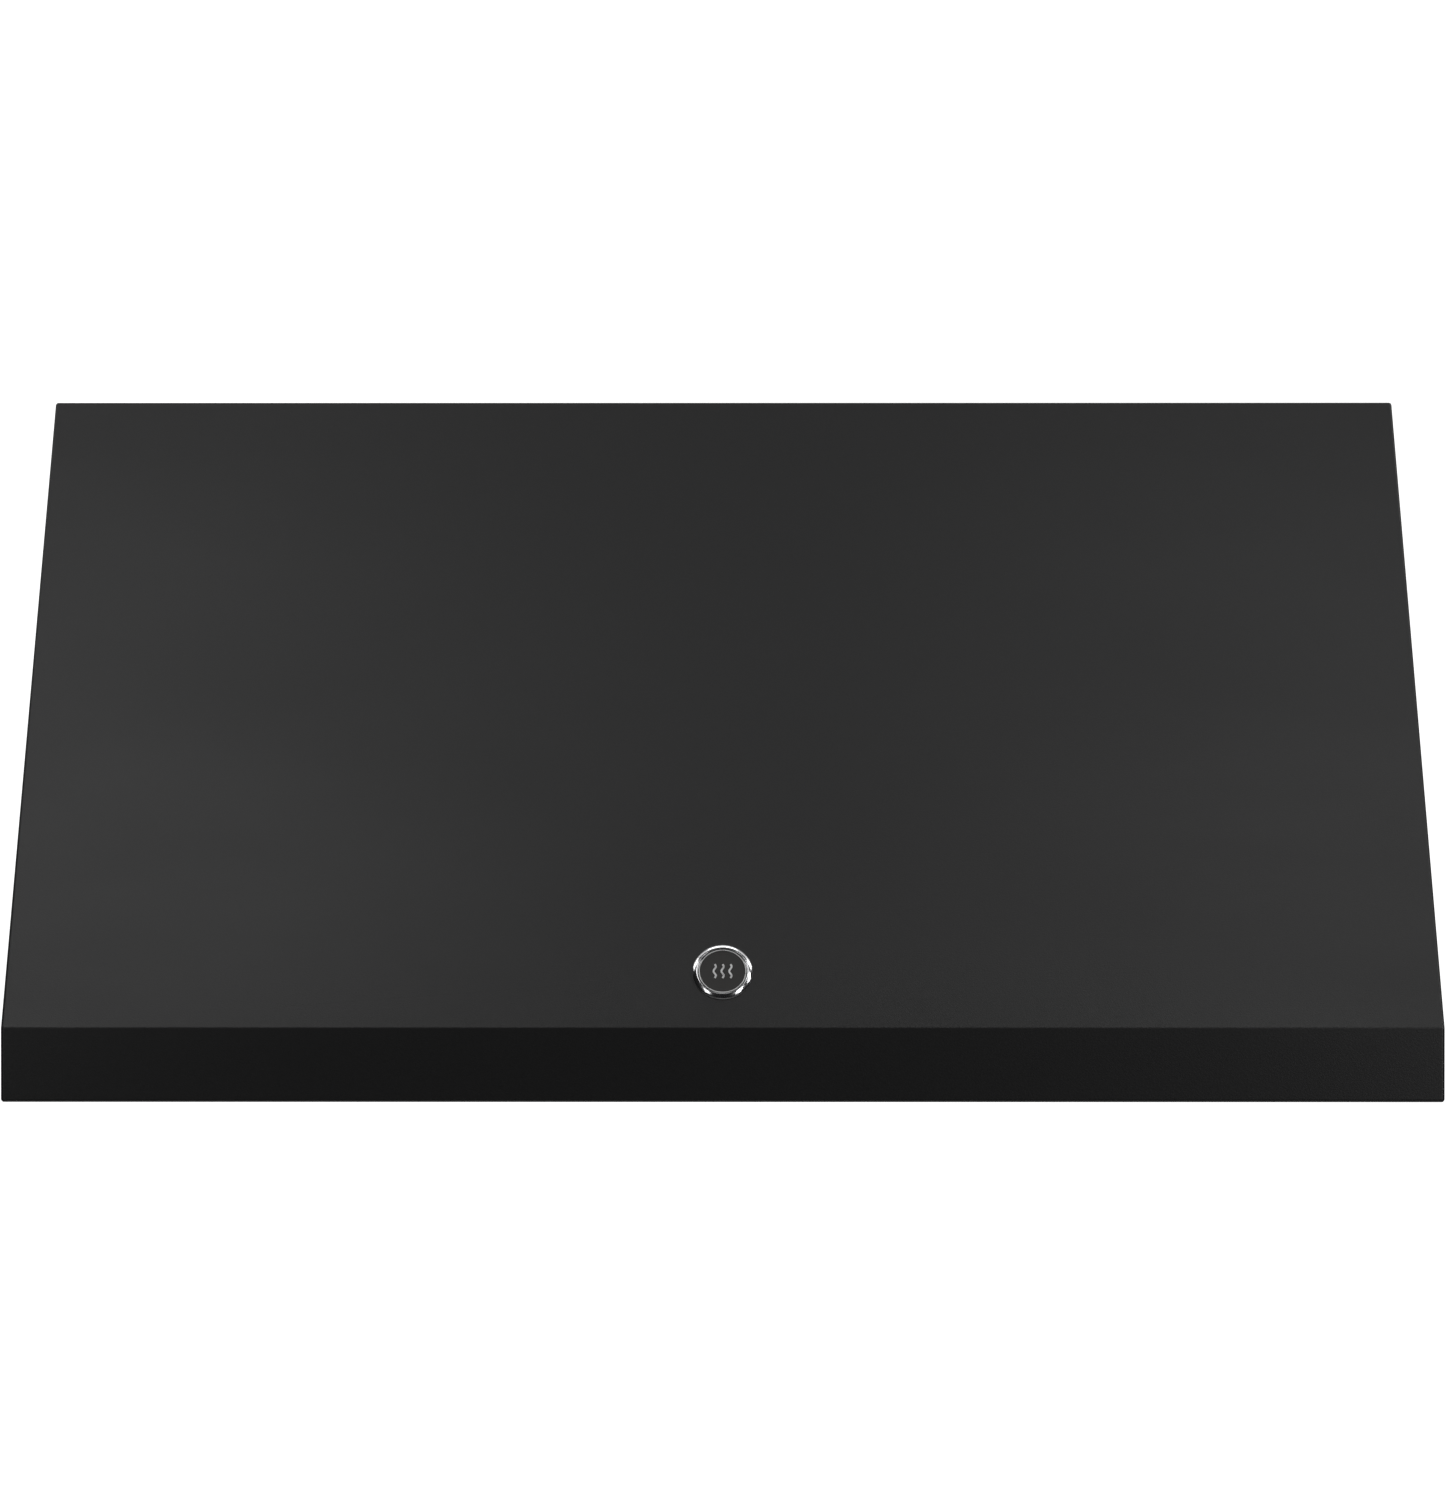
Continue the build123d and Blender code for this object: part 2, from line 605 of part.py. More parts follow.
def fan_wheel():
    """Double-inlet wheel without its end rings: centre disc with a hub, and staggered blades on both sides."""
    pitch = 360 / BLADES
    blade_end = FAN_HALF - RING_THICK
    blade_length = blade_end - DISC_HALF
    disc = rod_x(FAN_R, (-DISC_HALF, DISC_HALF), FAN_Y, FAN_Z) + rod_x(14, (-14, 14), FAN_Y, FAN_Z)
    made = [disc - rod_x(SHAFT_R, (-FAR, FAR), FAN_Y, FAN_Z)]
    for i in range(BLADES):
        made.append(Pos(-blade_end, 0, 0) * extrude(fan_blade(i * pitch), amount=blade_length))
        made.append(Pos(DISC_HALF, 0, 0) * extrude(fan_blade((i + 0.5) * pitch), amount=blade_length))
    return Compound(children=made)


def wheel_end_rings():
    """Rings that tie the blades together at both ends of the wheel."""
    made = []
    for sign in (-1, 1):
        span = sorted((sign * (FAN_HALF - RING_THICK), sign * FAN_HALF))
        ring = rod_x(FAN_R, span, FAN_Y, FAN_Z)
        made.append(ring - rod_x(FAN_R - 8, (-FAR, FAR), FAN_Y, FAN_Z))
    return Compound(children=made)


def motor_shaft():
    """Shaft shared by the motor and the wheel."""
    return rod_x(SHAFT_R, (-16, MOTOR_X[1] - 8), FAN_Y, FAN_Z)


def motor_body():
    """Motor can with rounded end bells and a clearance bore for the shaft."""
    can = rod_x(MOTOR_R, MOTOR_X, FAN_Y, FAN_Z)
    can = fillet(can.edges(), 9)
    band = rod_x(MOTOR_R + 1.2, (MOTOR_X[1] - 34, MOTOR_X[1] - 22), FAN_Y, FAN_Z)
    return can + band - rod_x(SHAFT_R + 0.05, (0, MOTOR_X[1] - 6), FAN_Y, FAN_Z)


def motor_bracket():
    """Spider that carries the motor from the right side plate."""
    hub = rod_x(30, (MOTOR_X[1], ARM_X + 2), FAN_Y, FAN_Z)
    arms = []
    for angle in ARM_ANGLES:
        arm = block((ARM_X, ARM_X + 2), (0, ARM_REACH), (-8, 8))
        arm += rod_x(8, (ARM_X, ARM_X + 2), ARM_REACH, 0)
        arm -= rod_x(4, (ARM_X - 1, ARM_X + 3), ARM_REACH, 0)
        arms.append(Pos(0, FAN_Y, FAN_Z) * Rot(angle, 0, 0) * arm)
    return hub.fuse(*arms)


def motor_grommets():
    """Rubber bushes between the arms and the side plate."""
    made = []
    for angle in ARM_ANGLES:
        bush = rod_x(4, (SCROLL_HALF, ARM_X + 4), ARM_REACH, 0)
        bush += rod_x(7, (SCROLL_HALF, ARM_X), ARM_REACH, 0)
        bush += rod_x(6.5, (ARM_X + 2, ARM_X + 4), ARM_REACH, 0)
        made.append(Pos(0, FAN_Y, FAN_Z) * Rot(angle, 0, 0) * bush)
    return Compound(children=made)


def run_capacitor():
    """Motor capacitor strapped to the right side plate."""
    y, low, high = -131.0, 250.0, 305.0
    can = rod_z(15, SCROLL_HALF + 16, y, (low, high))
    can = fillet(can.edges(), 2)
    strap_z = (low + 20, low + 32)
    strap = rod_z(16, SCROLL_HALF + 16, y, strap_z)
    strap += block((SCROLL_HALF, SCROLL_HALF + 1.2), (y - 22, y + 22), strap_z)
    return can + strap


def blower_hangers():
    """Brackets that tie the scroll's side plates to the back panel."""
    made = []
    for sign in (-1, 1):
        plate_x = sorted((sign * SCROLL_HALF, sign * (SCROLL_HALF + 1.5)))
        foot_x = sorted((sign * SCROLL_HALF, sign * (SCROLL_HALF + 22)))
        bar = block(plate_x, (FAN_Y + 118, -SHEET), (FAN_Z - 30, FAN_Z + 8))
        made.append(bar + block(foot_x, (-SHEET - 1.5, -SHEET), (FAN_Z - 30, FAN_Z + 8)))
    return Compound(children=made)


def duct_transition():
    """Sleeve from the scroll's oblong outlet to the round collar, with a flange at each end."""
    front = FAN_Y + TONGUE_U
    rear = FAN_Y + SCROLL_R + 2.5 * SPIRAL_STEP
    middle, opening = (front + rear) / 2, rear - front
    low, high = OUTLET_TOP + 1.2, BARREL_BOTTOM - 1.2

    def sleeve(grow):
        bottom = Pos(0, middle, low) * Rectangle(2 * SCROLL_HALF - 2 + 2 * grow, opening + 2 * grow)
        upper = Pos(0, DUCT_Y, high) * Circle(BARREL_R + grow)
        return loft([bottom, upper])

    wall = sleeve(1.0) - sleeve(0.0)
    foot = block((-SCROLL_HALF - 12, SCROLL_HALF + 12), (front - 12, rear + 12), (OUTLET_TOP, low))
    foot -= block((-SCROLL_HALF + 1, SCROLL_HALF - 1), (front, rear), (OUTLET_TOP - 1, low + 1))
    rim = rod_z(BARREL_R + COLLAR_RIM, 0, DUCT_Y, (high, BARREL_BOTTOM))
    rim -= rod_z(BARREL_R, 0, DUCT_Y, (0, HEIGHT))
    return wall + foot + rim


def duct_collar():
    """Round socket for the duct over a narrower barrel that holds the damper."""
    outer_socket = SOCKET_R + COLLAR_WALL
    outer_barrel = BARREL_R + COLLAR_WALL
    body = rod_z(SOCKET_R + COLLAR_RIM, 0, DUCT_Y, (CEILING - COLLAR_WALL, CEILING))
    body += rod_z(outer_socket, 0, DUCT_Y, (SHOULDER_Z - COLLAR_WALL, CEILING))
    body += rod_z(outer_barrel, 0, DUCT_Y, (BARREL_BOTTOM, SHOULDER_Z))
    body += rod_z(BARREL_R + COLLAR_RIM, 0, DUCT_Y, (BARREL_BOTTOM, BARREL_BOTTOM + COLLAR_WALL))
    body -= rod_z(SOCKET_R, 0, DUCT_Y, (SHOULDER_Z, HEIGHT))
    body -= rod_z(BARREL_R, 0, DUCT_Y, (0, HEIGHT))
    stop = rod_z(BARREL_R + 0.5, 0, DUCT_Y, (PIN_Z - 5, PIN_Z - FLAP_THICK / 2 - 0.3))
    stop -= rod_z(BARREL_R - 4, 0, DUCT_Y, (0, HEIGHT))
    stop -= block((-FAR, FAR), (DUCT_Y - 5, DUCT_Y + 5), (0, HEIGHT))
    return body + stop - rod_x(PIN_R, (-FAR, FAR), DUCT_Y, PIN_Z)


def damper_flap(sign):
    """Half-round flap with two knuckles on the pin; it opens upwards."""
    thickness = (PIN_Z - FLAP_THICK / 2, PIN_Z + FLAP_THICK / 2)
    side = sorted((DUCT_Y + sign * (KNUCKLE_R + 0.5), DUCT_Y + sign * FAR))
    flap = rod_z(FLAP_R, 0, DUCT_Y, thickness) & block((-FAR, FAR), side, (0, HEIGHT))
    reach = sorted((DUCT_Y, DUCT_Y + sign * (KNUCKLE_R + 1.5)))
    for middle in (-54.0, 30.0):
        knuckle_x = sorted(sign * (middle + end) for end in (-KNUCKLE_LENGTH / 2, KNUCKLE_LENGTH / 2))
        flap += rod_x(KNUCKLE_R, knuckle_x, DUCT_Y, PIN_Z)
        flap += block(knuckle_x, reach, thickness)
    return flap - rod_x(PIN_R + 0.05, (-FAR, FAR), DUCT_Y, PIN_Z)


def damper_pin():
    """Pin across the barrel that both flaps turn on."""
    reach = BARREL_R + COLLAR_WALL + 1.5
    return rod_x(PIN_R, (-reach, reach), DUCT_Y, PIN_Z)


def box_screws_at():
    """Places of the junction box cover's two screws."""
    middle = sum(BOX_X) / 2
    return [(middle, BOX_Y[0] + 6), (middle, BOX_Y[1] - 6)]


def wiring_box():
    """Open-bottomed junction box under the cable hole, with ears against the top panel."""
    wall, ear, lip = 1.0, 12.0, 12.0
    box = block(BOX_X, BOX_Y, (BOX_LOW, CEILING))
    inner_x = (BOX_X[0] + wall, BOX_X[1] - wall)
    inner_y = (BOX_Y[0] + wall, BOX_Y[1] - wall)
    box -= block(inner_x, inner_y, (BOX_LOW - 1, CEILING + 1))
    ears = block((BOX_X[0] - ear, BOX_X[1] + ear), BOX_Y, (CEILING - wall, CEILING))
    box += ears - block(inner_x, BOX_Y, (CEILING - 2 * wall, CEILING + 1))
    lips = block(BOX_X, BOX_Y, (BOX_LOW, BOX_LOW + wall))
    box += lips - block(BOX_X, (BOX_Y[0] + lip, BOX_Y[1] - lip), (0, HEIGHT))
    for x, y in box_screws_at():
        box -= rod_z(1.6, x, y, (0, BOX_LOW + 2))
    box -= rod_x(CABLE_R, (BOX_X[0] - 1, BOX_X[0] + 2), CABLE_HOLE[1], BOX_CABLE_Z)
    return box - Pos(CABLE_HOLE[0], BOX_Y[0], BOX_CABLE_Z) * Rot(90, 0, 0) * Cylinder(CABLE_R, 4)


def wiring_box_cover():
    """Plate that closes the junction box from below."""
    cover = block(BOX_X, BOX_Y, (BOX_LOW - SHEET, BOX_LOW))
    for x, y in box_screws_at():
        cover -= rod_z(1.6, x, y, (0, HEIGHT))
    return cover - rod_z(CABLE_R, DRIVER_X + 20, CABLE_HOLE[1], (0, HEIGHT))


def led_driver():
    """Lamp supply on the back panel below the junction box."""
    case = block((DRIVER_X - 50, DRIVER_X + 50), (DRIVER_FRONT, -SHEET), DRIVER_Z)
    case = fillet(case.edges().filter_by(Axis.X), 2)
    feet_z = (DRIVER_Z[0] + 5, DRIVER_Z[1] - 5)
    return case + block((DRIVER_X - 62, DRIVER_X + 62), (-SHEET - 1.5, -SHEET), feet_z)


def cable(points, radii=None):
    """Round cable along straight runs joined by arcs."""
    path = FilletPolyline(*points, radius=radii) if radii else Line(*points)
    return sweep(Plane(origin=points[0], z_dir=path % 0) * Circle(CABLE_R), path=path)


def wiring_harness():
    """Cables between junction box, motor, lamp supply, controls and lamps, with their clips."""
    behind = SHEET + CABLE_R + 0.6
    x = CABLE_HOLE[0]
    z = CONTROL_CABLE_Z
    upper_z, turn_z, lower_z = BOX_CABLE_Z, 370.0, 70.0
    control = cable(
        [
            (x, BOX_Y[0], upper_z),
            (x, slope_y(upper_z, behind + 18), upper_z),
            (x, slope_y(turn_z, behind), turn_z),
            (x, slope_y(lower_z, behind), lower_z),
            (250, -535, 30),
            (150, CONTROL_CABLE_Y, z),
            (CONTROL_LENGTH / 2, CONTROL_CABLE_Y, z),
        ],
        [25, 25, 25, 25, 25],
    )
    motor = cable(
        [
            (BOX_X[0], CABLE_HOLE[1], upper_z),
            (170, CABLE_HOLE[1], upper_z),
            (150, -100, 330),
            (150, FAN_Y, FAN_Z + 40),
            (120, FAN_Y, FAN_Z + 16),
            (ARM_X + 2, FAN_Y, FAN_Z + 16),
        ],
        [25, 25, 20, 10],
    )
    supply_z = sum(DRIVER_Z) / 2
    supply = cable(
        [
            (DRIVER_X + 20, CABLE_HOLE[1], BOX_LOW),
            (DRIVER_X + 20, CABLE_HOLE[1], supply_z),
            (DRIVER_X + 20, DRIVER_FRONT, supply_z),
        ],
        [18],
    )
    reach = LAMP_X - LAMP_HOUSING_R
    lamps = [
        cable([(sign * CONTROL_LENGTH / 2, LAMP_CABLE_Y, z), (sign * reach, LAMP_CABLE_Y, z)])
        for sign in (-1, 1)
    ]
    clips = [cable_clip(up, behind) for up in CLIP_UP]
    return Compound(children=[control, motor, supply, *lamps, *clips])


def cable_clip(up, behind):
    """Saddle that holds the control cable to the back of the sloped front."""
    clip = Pos(0, 0, -SHEET - 4) * Box(12, 12, 8)
    clip -= Pos(0, 0, -behind) * Rot(90, 0, 0) * Cylinder(CABLE_R, 20)
    return on_slope(up, CABLE_HOLE[0]) * clip


def pan_screw(x, y, z):
    """Small pan-head screw driven upwards, its head's seat at height z."""
    return rod_z(3.2, x, y, (z - 2, z)) + rod_z(1.6, x, y, (z, z + 5))


def small_fasteners():
    """Light panel screws, junction box screws and the badge's push-on nuts."""
    made = [countersunk(x, y, 0) for x, y in PANEL_SCREWS]
    made += [pan_screw(x, y, BOX_LOW - SHEET) for x, y in box_screws_at()]
    nut = Pos(0, 0, -SHEET - 1) * (Cylinder(4, 2) - Cylinder(STUD_R, 2))
    made += [on_slope(BADGE_UP_SLOPE, x) * nut for x in (-STUD_X, STUD_X)]
    return Compound(children=made)


def make_parts():
    """Every sub-part by the name of its node."""
    shell = canopy_shell()
    parts = {
        "front_canopy": front_canopy(shell),
        "left_side_panel": side_panel(shell, -1),
        "right_side_panel": side_panel(shell, 1),
        "top_panel": top_panel(),
        "back_panel": back_panel(),
        "badge_bezel": badge_bezel(),
        "badge_disc": badge_disc(),
        "badge_emblem": badge_emblem(),
        "light_panel": light_panel(),
        "control_bezel": control_bezel(),
        "control_box": control_box(),
        "control_board": control_board(),
        "rear_filter_rail": rear_filter_rail(),
        "filter_ledges": filter_ledges(),
        "left_scroll_plate": scroll_plate(-1),
        "right_scroll_plate": scroll_plate(1),
        "scroll_wrap": scroll_wrap(),
        "left_inlet_ring": inlet_ring(-1),
        "right_inlet_ring": inlet_ring(1),
        "fan_wheel": fan_wheel(),
        "wheel_end_rings": wheel_end_rings(),
        "motor_shaft": motor_shaft(),
        "motor_body": motor_body(),
        "motor_bracket": motor_bracket(),
        "motor_grommets": motor_grommets(),
        "run_capacitor": run_capacitor(),
        "blower_hangers": blower_hangers(),
        "duct_transition": duct_transition(),
        "duct_collar": duct_collar(),
        "front_damper_flap": damper_flap(-1),
        "rear_damper_flap": damper_flap(1),
        "damper_pin": damper_pin(),
        "wiring_box": wiring_box(),
        "wiring_box_cover": wiring_box_cover(),
        "led_driver": led_driver(),
        "wiring_harness": wiring_harness(),
        "small_fasteners": small_fasteners(),
    }
    for name, x in zip(("left", "right"), (-LAMP_X, LAMP_X)):
        parts[f"{name}_lamp_bezel"] = lamp_bezel(x)
        parts[f"{name}_lamp_lens"] = lamp_lens(x)
        parts[f"{name}_lamp_housing"] = lamp_housing(x)
    for name, x in zip(BUTTON_NAMES, BUTTON_X):
        parts[f"{name}_button"] = button_at(x)
    for name, x in zip(SIDES, FILTER_X):
        parts[f"{name}_filter_frame"] = filter_frame(x)
        parts[f"{name}_filter_baffles"] = filter_baffles(x)
        parts[f"{name}_filter_springs"] = filter_springs(x)
        parts[f"{name}_filter_bail"] = filter_bail(x)
    return parts


os.makedirs("parts", exist_ok=True)
for node, shape in make_parts().items():
    export_step(shape, f"parts/{node}.step")
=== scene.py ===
"""Looks of the range hood: materials for every CAD node, small detail pieces, studio and camera."""

import json
import math

import bmesh
import bpy
from mathutils import Euler, Matrix, Vector


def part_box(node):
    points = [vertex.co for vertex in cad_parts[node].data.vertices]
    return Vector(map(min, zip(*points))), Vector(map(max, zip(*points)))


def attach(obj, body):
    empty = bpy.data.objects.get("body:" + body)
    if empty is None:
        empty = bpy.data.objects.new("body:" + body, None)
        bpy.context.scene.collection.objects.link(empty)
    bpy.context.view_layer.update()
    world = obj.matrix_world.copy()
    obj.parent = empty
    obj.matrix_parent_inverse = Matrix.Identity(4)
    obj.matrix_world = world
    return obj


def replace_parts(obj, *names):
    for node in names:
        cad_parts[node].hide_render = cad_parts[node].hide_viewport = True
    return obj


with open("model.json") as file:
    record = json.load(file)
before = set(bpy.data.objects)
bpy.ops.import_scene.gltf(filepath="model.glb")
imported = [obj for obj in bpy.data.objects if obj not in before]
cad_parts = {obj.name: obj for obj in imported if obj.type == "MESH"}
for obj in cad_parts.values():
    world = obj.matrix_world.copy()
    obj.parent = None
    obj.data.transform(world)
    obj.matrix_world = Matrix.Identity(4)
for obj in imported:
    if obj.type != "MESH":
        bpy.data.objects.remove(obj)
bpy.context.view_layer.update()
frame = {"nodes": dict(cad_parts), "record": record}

MM = 0.001

# Camera, in metres and degrees.
CAMERA_PLACE = (0.0076, -3.325, 0.2474)
CAMERA_PITCH = -0.554
CAMERA_TURN = 0.157
CAMERA_LENS = 105.0
SENSOR = 36.0

# Sizes of the CAD model that the small pieces follow, in millimetres and radians.
SLOPE = math.atan2(457 - 47, 559 - 330)
FAN_Y = -255
FAN_Z = 212
BADGE_UP_SLOPE = 38.8
PUSH_NUT_DEPTH = 4.0
PRINT = 0.2

# Studio. Each soft box has its name, azimuth from straight ahead, elevation, width and power.
FLOOR_Z = -1.65
FLOOR_SIZE = 9.0
AMBIENT = 0.01
BACKGROUND = 1.2
DOME_RADIUS = 2.6
SOFTBOX = 0.9
DOME = (
    ("key_left", -25, 45, 0.9, 4.7),
    ("key_right", 25, 45, 0.9, 3.75),
    ("high_left", -25, 58, 0.9, 0.9),
    ("high_right", 25, 58, 0.9, 0.8),
    ("wide_left", -50, 45, 0.9, 2.8),
    ("wide_right", 50, 45, 0.9, 1.6),
    ("side_left", -92, 40, 0.9, 5.0),
    ("side_right", 92, 40, 0.9, 6.0),
    ("lip_left", -30, 3, 0.5, 3.0),
    ("lip_right", 32.5, 3, 0.5, 7.6),
    ("edge_right", 62, 22, 0.6, 7.2),
    ("top", 0, 90, 0.9, 2.3),
)

NODES = frame["nodes"]
SLOT_OF = {row["node"]: row["material_slot"] for row in frame["record"]["subparts"]}


# Node helpers.


def new_material(name, **sockets):
    """A material and its Principled shader, with these uniform values set on the shader's own sockets."""
    made = bpy.data.materials.new(name)
    made.use_nodes = True
    shader = made.node_tree.nodes["Principled BSDF"]
    for socket, value in sockets.items():
        if isinstance(value, tuple) and len(value) == 3:
            value = (*value, 1.0)
        shader.inputs[socket.replace("_", " ")].default_value = value
    return made, shader


def add(shader, kind, links=None, **settings):
    """A node beside shader with these settings; links maps its inputs to sockets or plain values."""
    tree = shader.id_data
    node = tree.nodes.new(kind)
    for name, value in settings.items():
        setattr(node, name, value)
    for name, value in (links or {}).items():
        if isinstance(value, bpy.types.NodeSocket):
            tree.links.new(value, node.inputs[name])
        else:
            node.inputs[name].default_value = value
    return node


def wire(shader, socket, source):
    """Links source to one of the shader's sockets."""
    shader.id_data.links.new(source, shader.inputs[socket])


def stretched(shader, stretch):
    """Object coordinates scaled by stretch, so a pattern runs along the axis with the smallest number."""
    coordinates = add(shader, "ShaderNodeTexCoord")
    mapping = add(shader, "ShaderNodeMapping", {"Vector": coordinates.outputs["Object"]})
    mapping.inputs["Scale"].default_value = stretch
    return mapping.outputs["Vector"]


def noise(shader, scale, stretch=(1, 1, 1), detail=3.0, roughness=0.55):
    """Noise with scale features per metre before the stretch."""
    links = {
        "Vector": stretched(shader, stretch),
        "Scale": scale,
        "Detail": detail,
        "Roughness": roughness,
    }
    return add(shader, "ShaderNodeTexNoise", links).outputs["Fac"]


def remap(shader, source, low, high, out_low, out_high):
    """source from low..high carried to out_low..out_high, and kept inside."""
    links = {0: source, 1: low, 2: high, 3: out_low, 4: out_high}
    return add(shader, "ShaderNodeMapRange", links).outputs[0]


def blend_colours(shader, share, dark, light):
    """Colour from dark to light as share goes from 0 to 1."""
    node = add(shader, "ShaderNodeMix", {0: share}, data_type="RGBA")
    node.inputs["A"].default_value = (*dark, 1.0)
    node.inputs["B"].default_value = (*light, 1.0)
    return node.outputs["Result"]


def bump(shader, height, strength, distance, under=None):
    """A bump of this height, on top of another one if under is given."""
    links = {"Height": height, "Strength": strength, "Distance": distance}
    if under is not None:
        links["Normal"] = under
    return add(shader, "ShaderNodeBump", links).outputs["Normal"]


# Materials.


def slate_coat():
    """Matte dark baked coating over brushed sheet: fine grain, faint clouds along the width."""
    made, shader = new_material("slate_coat", Roughness=0.42)
    clouds = noise(shader, 6.0, (0.5, 1.4, 1.4), detail=4.0)
    grain = noise(shader, 1500.0, (0.7, 1, 1), detail=2.0)
    share = add(shader, "ShaderNodeMath", {0: clouds, 1: grain}, operation="ADD").outputs[0]
    share = remap(shader, share, 0.7, 1.3, 0.0, 1.0)
    colour = blend_colours(shader, share, (0.0115, 0.0115, 0.0118), (0.0165, 0.0165, 0.0168))
    wire(shader, "Base Color", colour)
    fine = bump(shader, grain, 0.22, 0.0003)
    hairline = noise(shader, 900.0, (0.02, 1, 1), detail=2.0)
    wire(shader, "Normal", bump(shader, hairline, 0.05, 0.0002, fine))
    wire(shader, "Roughness", remap(shader, clouds, 0.3, 0.7, 0.4, 0.365))
    return made


def brushed_steel(name, along, colour=(0.56, 0.56, 0.57), base_roughness=0.36):
    """Stainless sheet brushed along one axis: "x", "y" or "z"."""
    made, shader = new_material(name, Metallic=1.0)
    stretch = tuple(0.02 if axis == along else 1.0 for axis in "xyz")
    lines = noise(shader, 1900.0, stretch, detail=2.0, roughness=0.5)
    smudge = noise(shader, 11.0, detail=3.0)
    dark = tuple(0.9 * c for c in colour)
    wire(shader, "Base Color", blend_colours(shader, remap(shader, lines, 0.35, 0.65, 0, 1), dark, colour))
    both = add(shader, "ShaderNodeMath", {0: lines, 1: smudge}, operation="ADD").outputs[0]
    rough = remap(shader, both, 0.7, 1.3, base_roughness - 0.02, base_roughness + 0.07)
    wire(shader, "Roughness", rough)
    wire(shader, "Normal", bump(shader, lines, 0.05, 0.0001))
    return made


def galvanised():
    """Zinc-coated sheet: crystals of different tone and sheen."""
    made, shader = new_material("galvanised", Metallic=1.0)
    vector = stretched(shader, (1, 1, 1))
    links = {"Vector": vector, "Scale": 120.0, "Detail": 2.0}
    warp = add(shader, "ShaderNodeTexNoise", links).outputs["Color"]
    shift = add(shader, "ShaderNodeVectorMath", {0: warp, 2: vector}, operation="MULTIPLY_ADD")
    shift.inputs[1].default_value = (0.006, 0.006, 0.006)
    cells = add(shader, "ShaderNodeTexVoronoi", {"Vector": shift.outputs[0], "Scale": 70.0})
    tone = add(shader, "ShaderNodeSeparateColor", {0: cells.outputs["Color"]}).outputs[0]
    wire(shader, "Base Color", blend_colours(shader, tone, (0.41, 0.42, 0.43), (0.55, 0.56, 0.57)))
    wire(shader, "Roughness", remap(shader, tone, 0, 1, 0.36, 0.56))
    fine = noise(shader, 800.0, detail=3.0)
    wire(shader, "Normal", bump(shader, fine, 0.08, 0.0002))
    return made


def polished(name, colour, roughness):
    """Plated metal with faint polishing marks."""
    made, shader = new_material(name, Metallic=1.0, Base_Color=colour)
    haze = noise(shader, 160.0, detail=3.0)
    wire(shader, "Roughness", remap(shader, haze, 0.3, 0.7, roughness * 0.75, roughness * 1.3))
    wire(shader, "Normal", bump(shader, noise(shader, 2200.0, detail=2.0), 0.02, 0.0001))
    return made


def moulded(name, colour, roughness, grain_scale, grain_strength, coat=0.0):
    """Moulded plastic or paint with its grain and slight variation of tone."""
    made, shader = new_material(name, Coat_Weight=coat, Coat_Roughness=0.15)
    tone = noise(shader, 35.0, detail=3.0)
    dark = tuple(0.88 * c for c in colour)
    wire(shader, "Base Color", blend_colours(shader, remap(shader, tone, 0.3, 0.7, 0, 1), dark, colour))
    grain = noise(shader, grain_scale, detail=2.0)
    wire(shader, "Roughness", remap(shader, grain, 0.3, 0.7, roughness - 0.05, roughness + 0.07))
    wire(shader, "Normal", bump(shader, grain, grain_strength, 0.0003))
    return made


def frosted_lens():
    """Frosted cover glass of the lamps."""
    glass = {"Base_Color": (0.94, 0.95, 0.96), "IOR": 1.46, "Transmission_Weight": 0.85}
    made, shader = new_material("lens_frost", **glass)
    frost = noise(shader, 1800.0, detail=2.0)
    wire(shader, "Roughness", remap(shader, frost, 0.3, 0.7, 0.3, 0.42))
    wire(shader, "Normal", bump(shader, frost, 0.12, 0.0002))
    return made


def cast_metal(name, colour, roughness, scale):
    """Cast or drawn aluminium with its sandy skin."""
    made, shader = new_material(name, Metallic=1.0)
    skin = noise(shader, scale, detail=5.0)
    dark = tuple(0.85 * c for c in colour)
    wire(shader, "Base Color", blend_colours(shader, remap(shader, skin, 0.3, 0.7, 0, 1), dark, colour))
    wire(shader, "Roughness", remap(shader, skin, 0.3, 0.7, roughness - 0.06, roughness + 0.08))
    wire(shader, "Normal", bump(shader, skin, 0.2, 0.0002))
    return made


def circuit_board():
    """Green solder mask with paler copper tracks under it."""
    made, shader = new_material("board_green", Roughness=0.32, Coat_Weight=0.3)
    tracks = add(
        shader,
        "ShaderNodeTexBrick",
        {"Vector": stretched(shader, (1, 1, 1)), "Scale": 190.0, "Mortar Size": 0.035},
        offset=0.37,
    )
    colour = blend_colours(shader, tracks.outputs["Fac"], (0.012, 0.10, 0.045), (0.03, 0.19, 0.09))
    wire(shader, "Base Color", colour)
    wire(shader, "Normal", bump(shader, tracks.outputs["Fac"], 0.3, 0.0001))
    return made


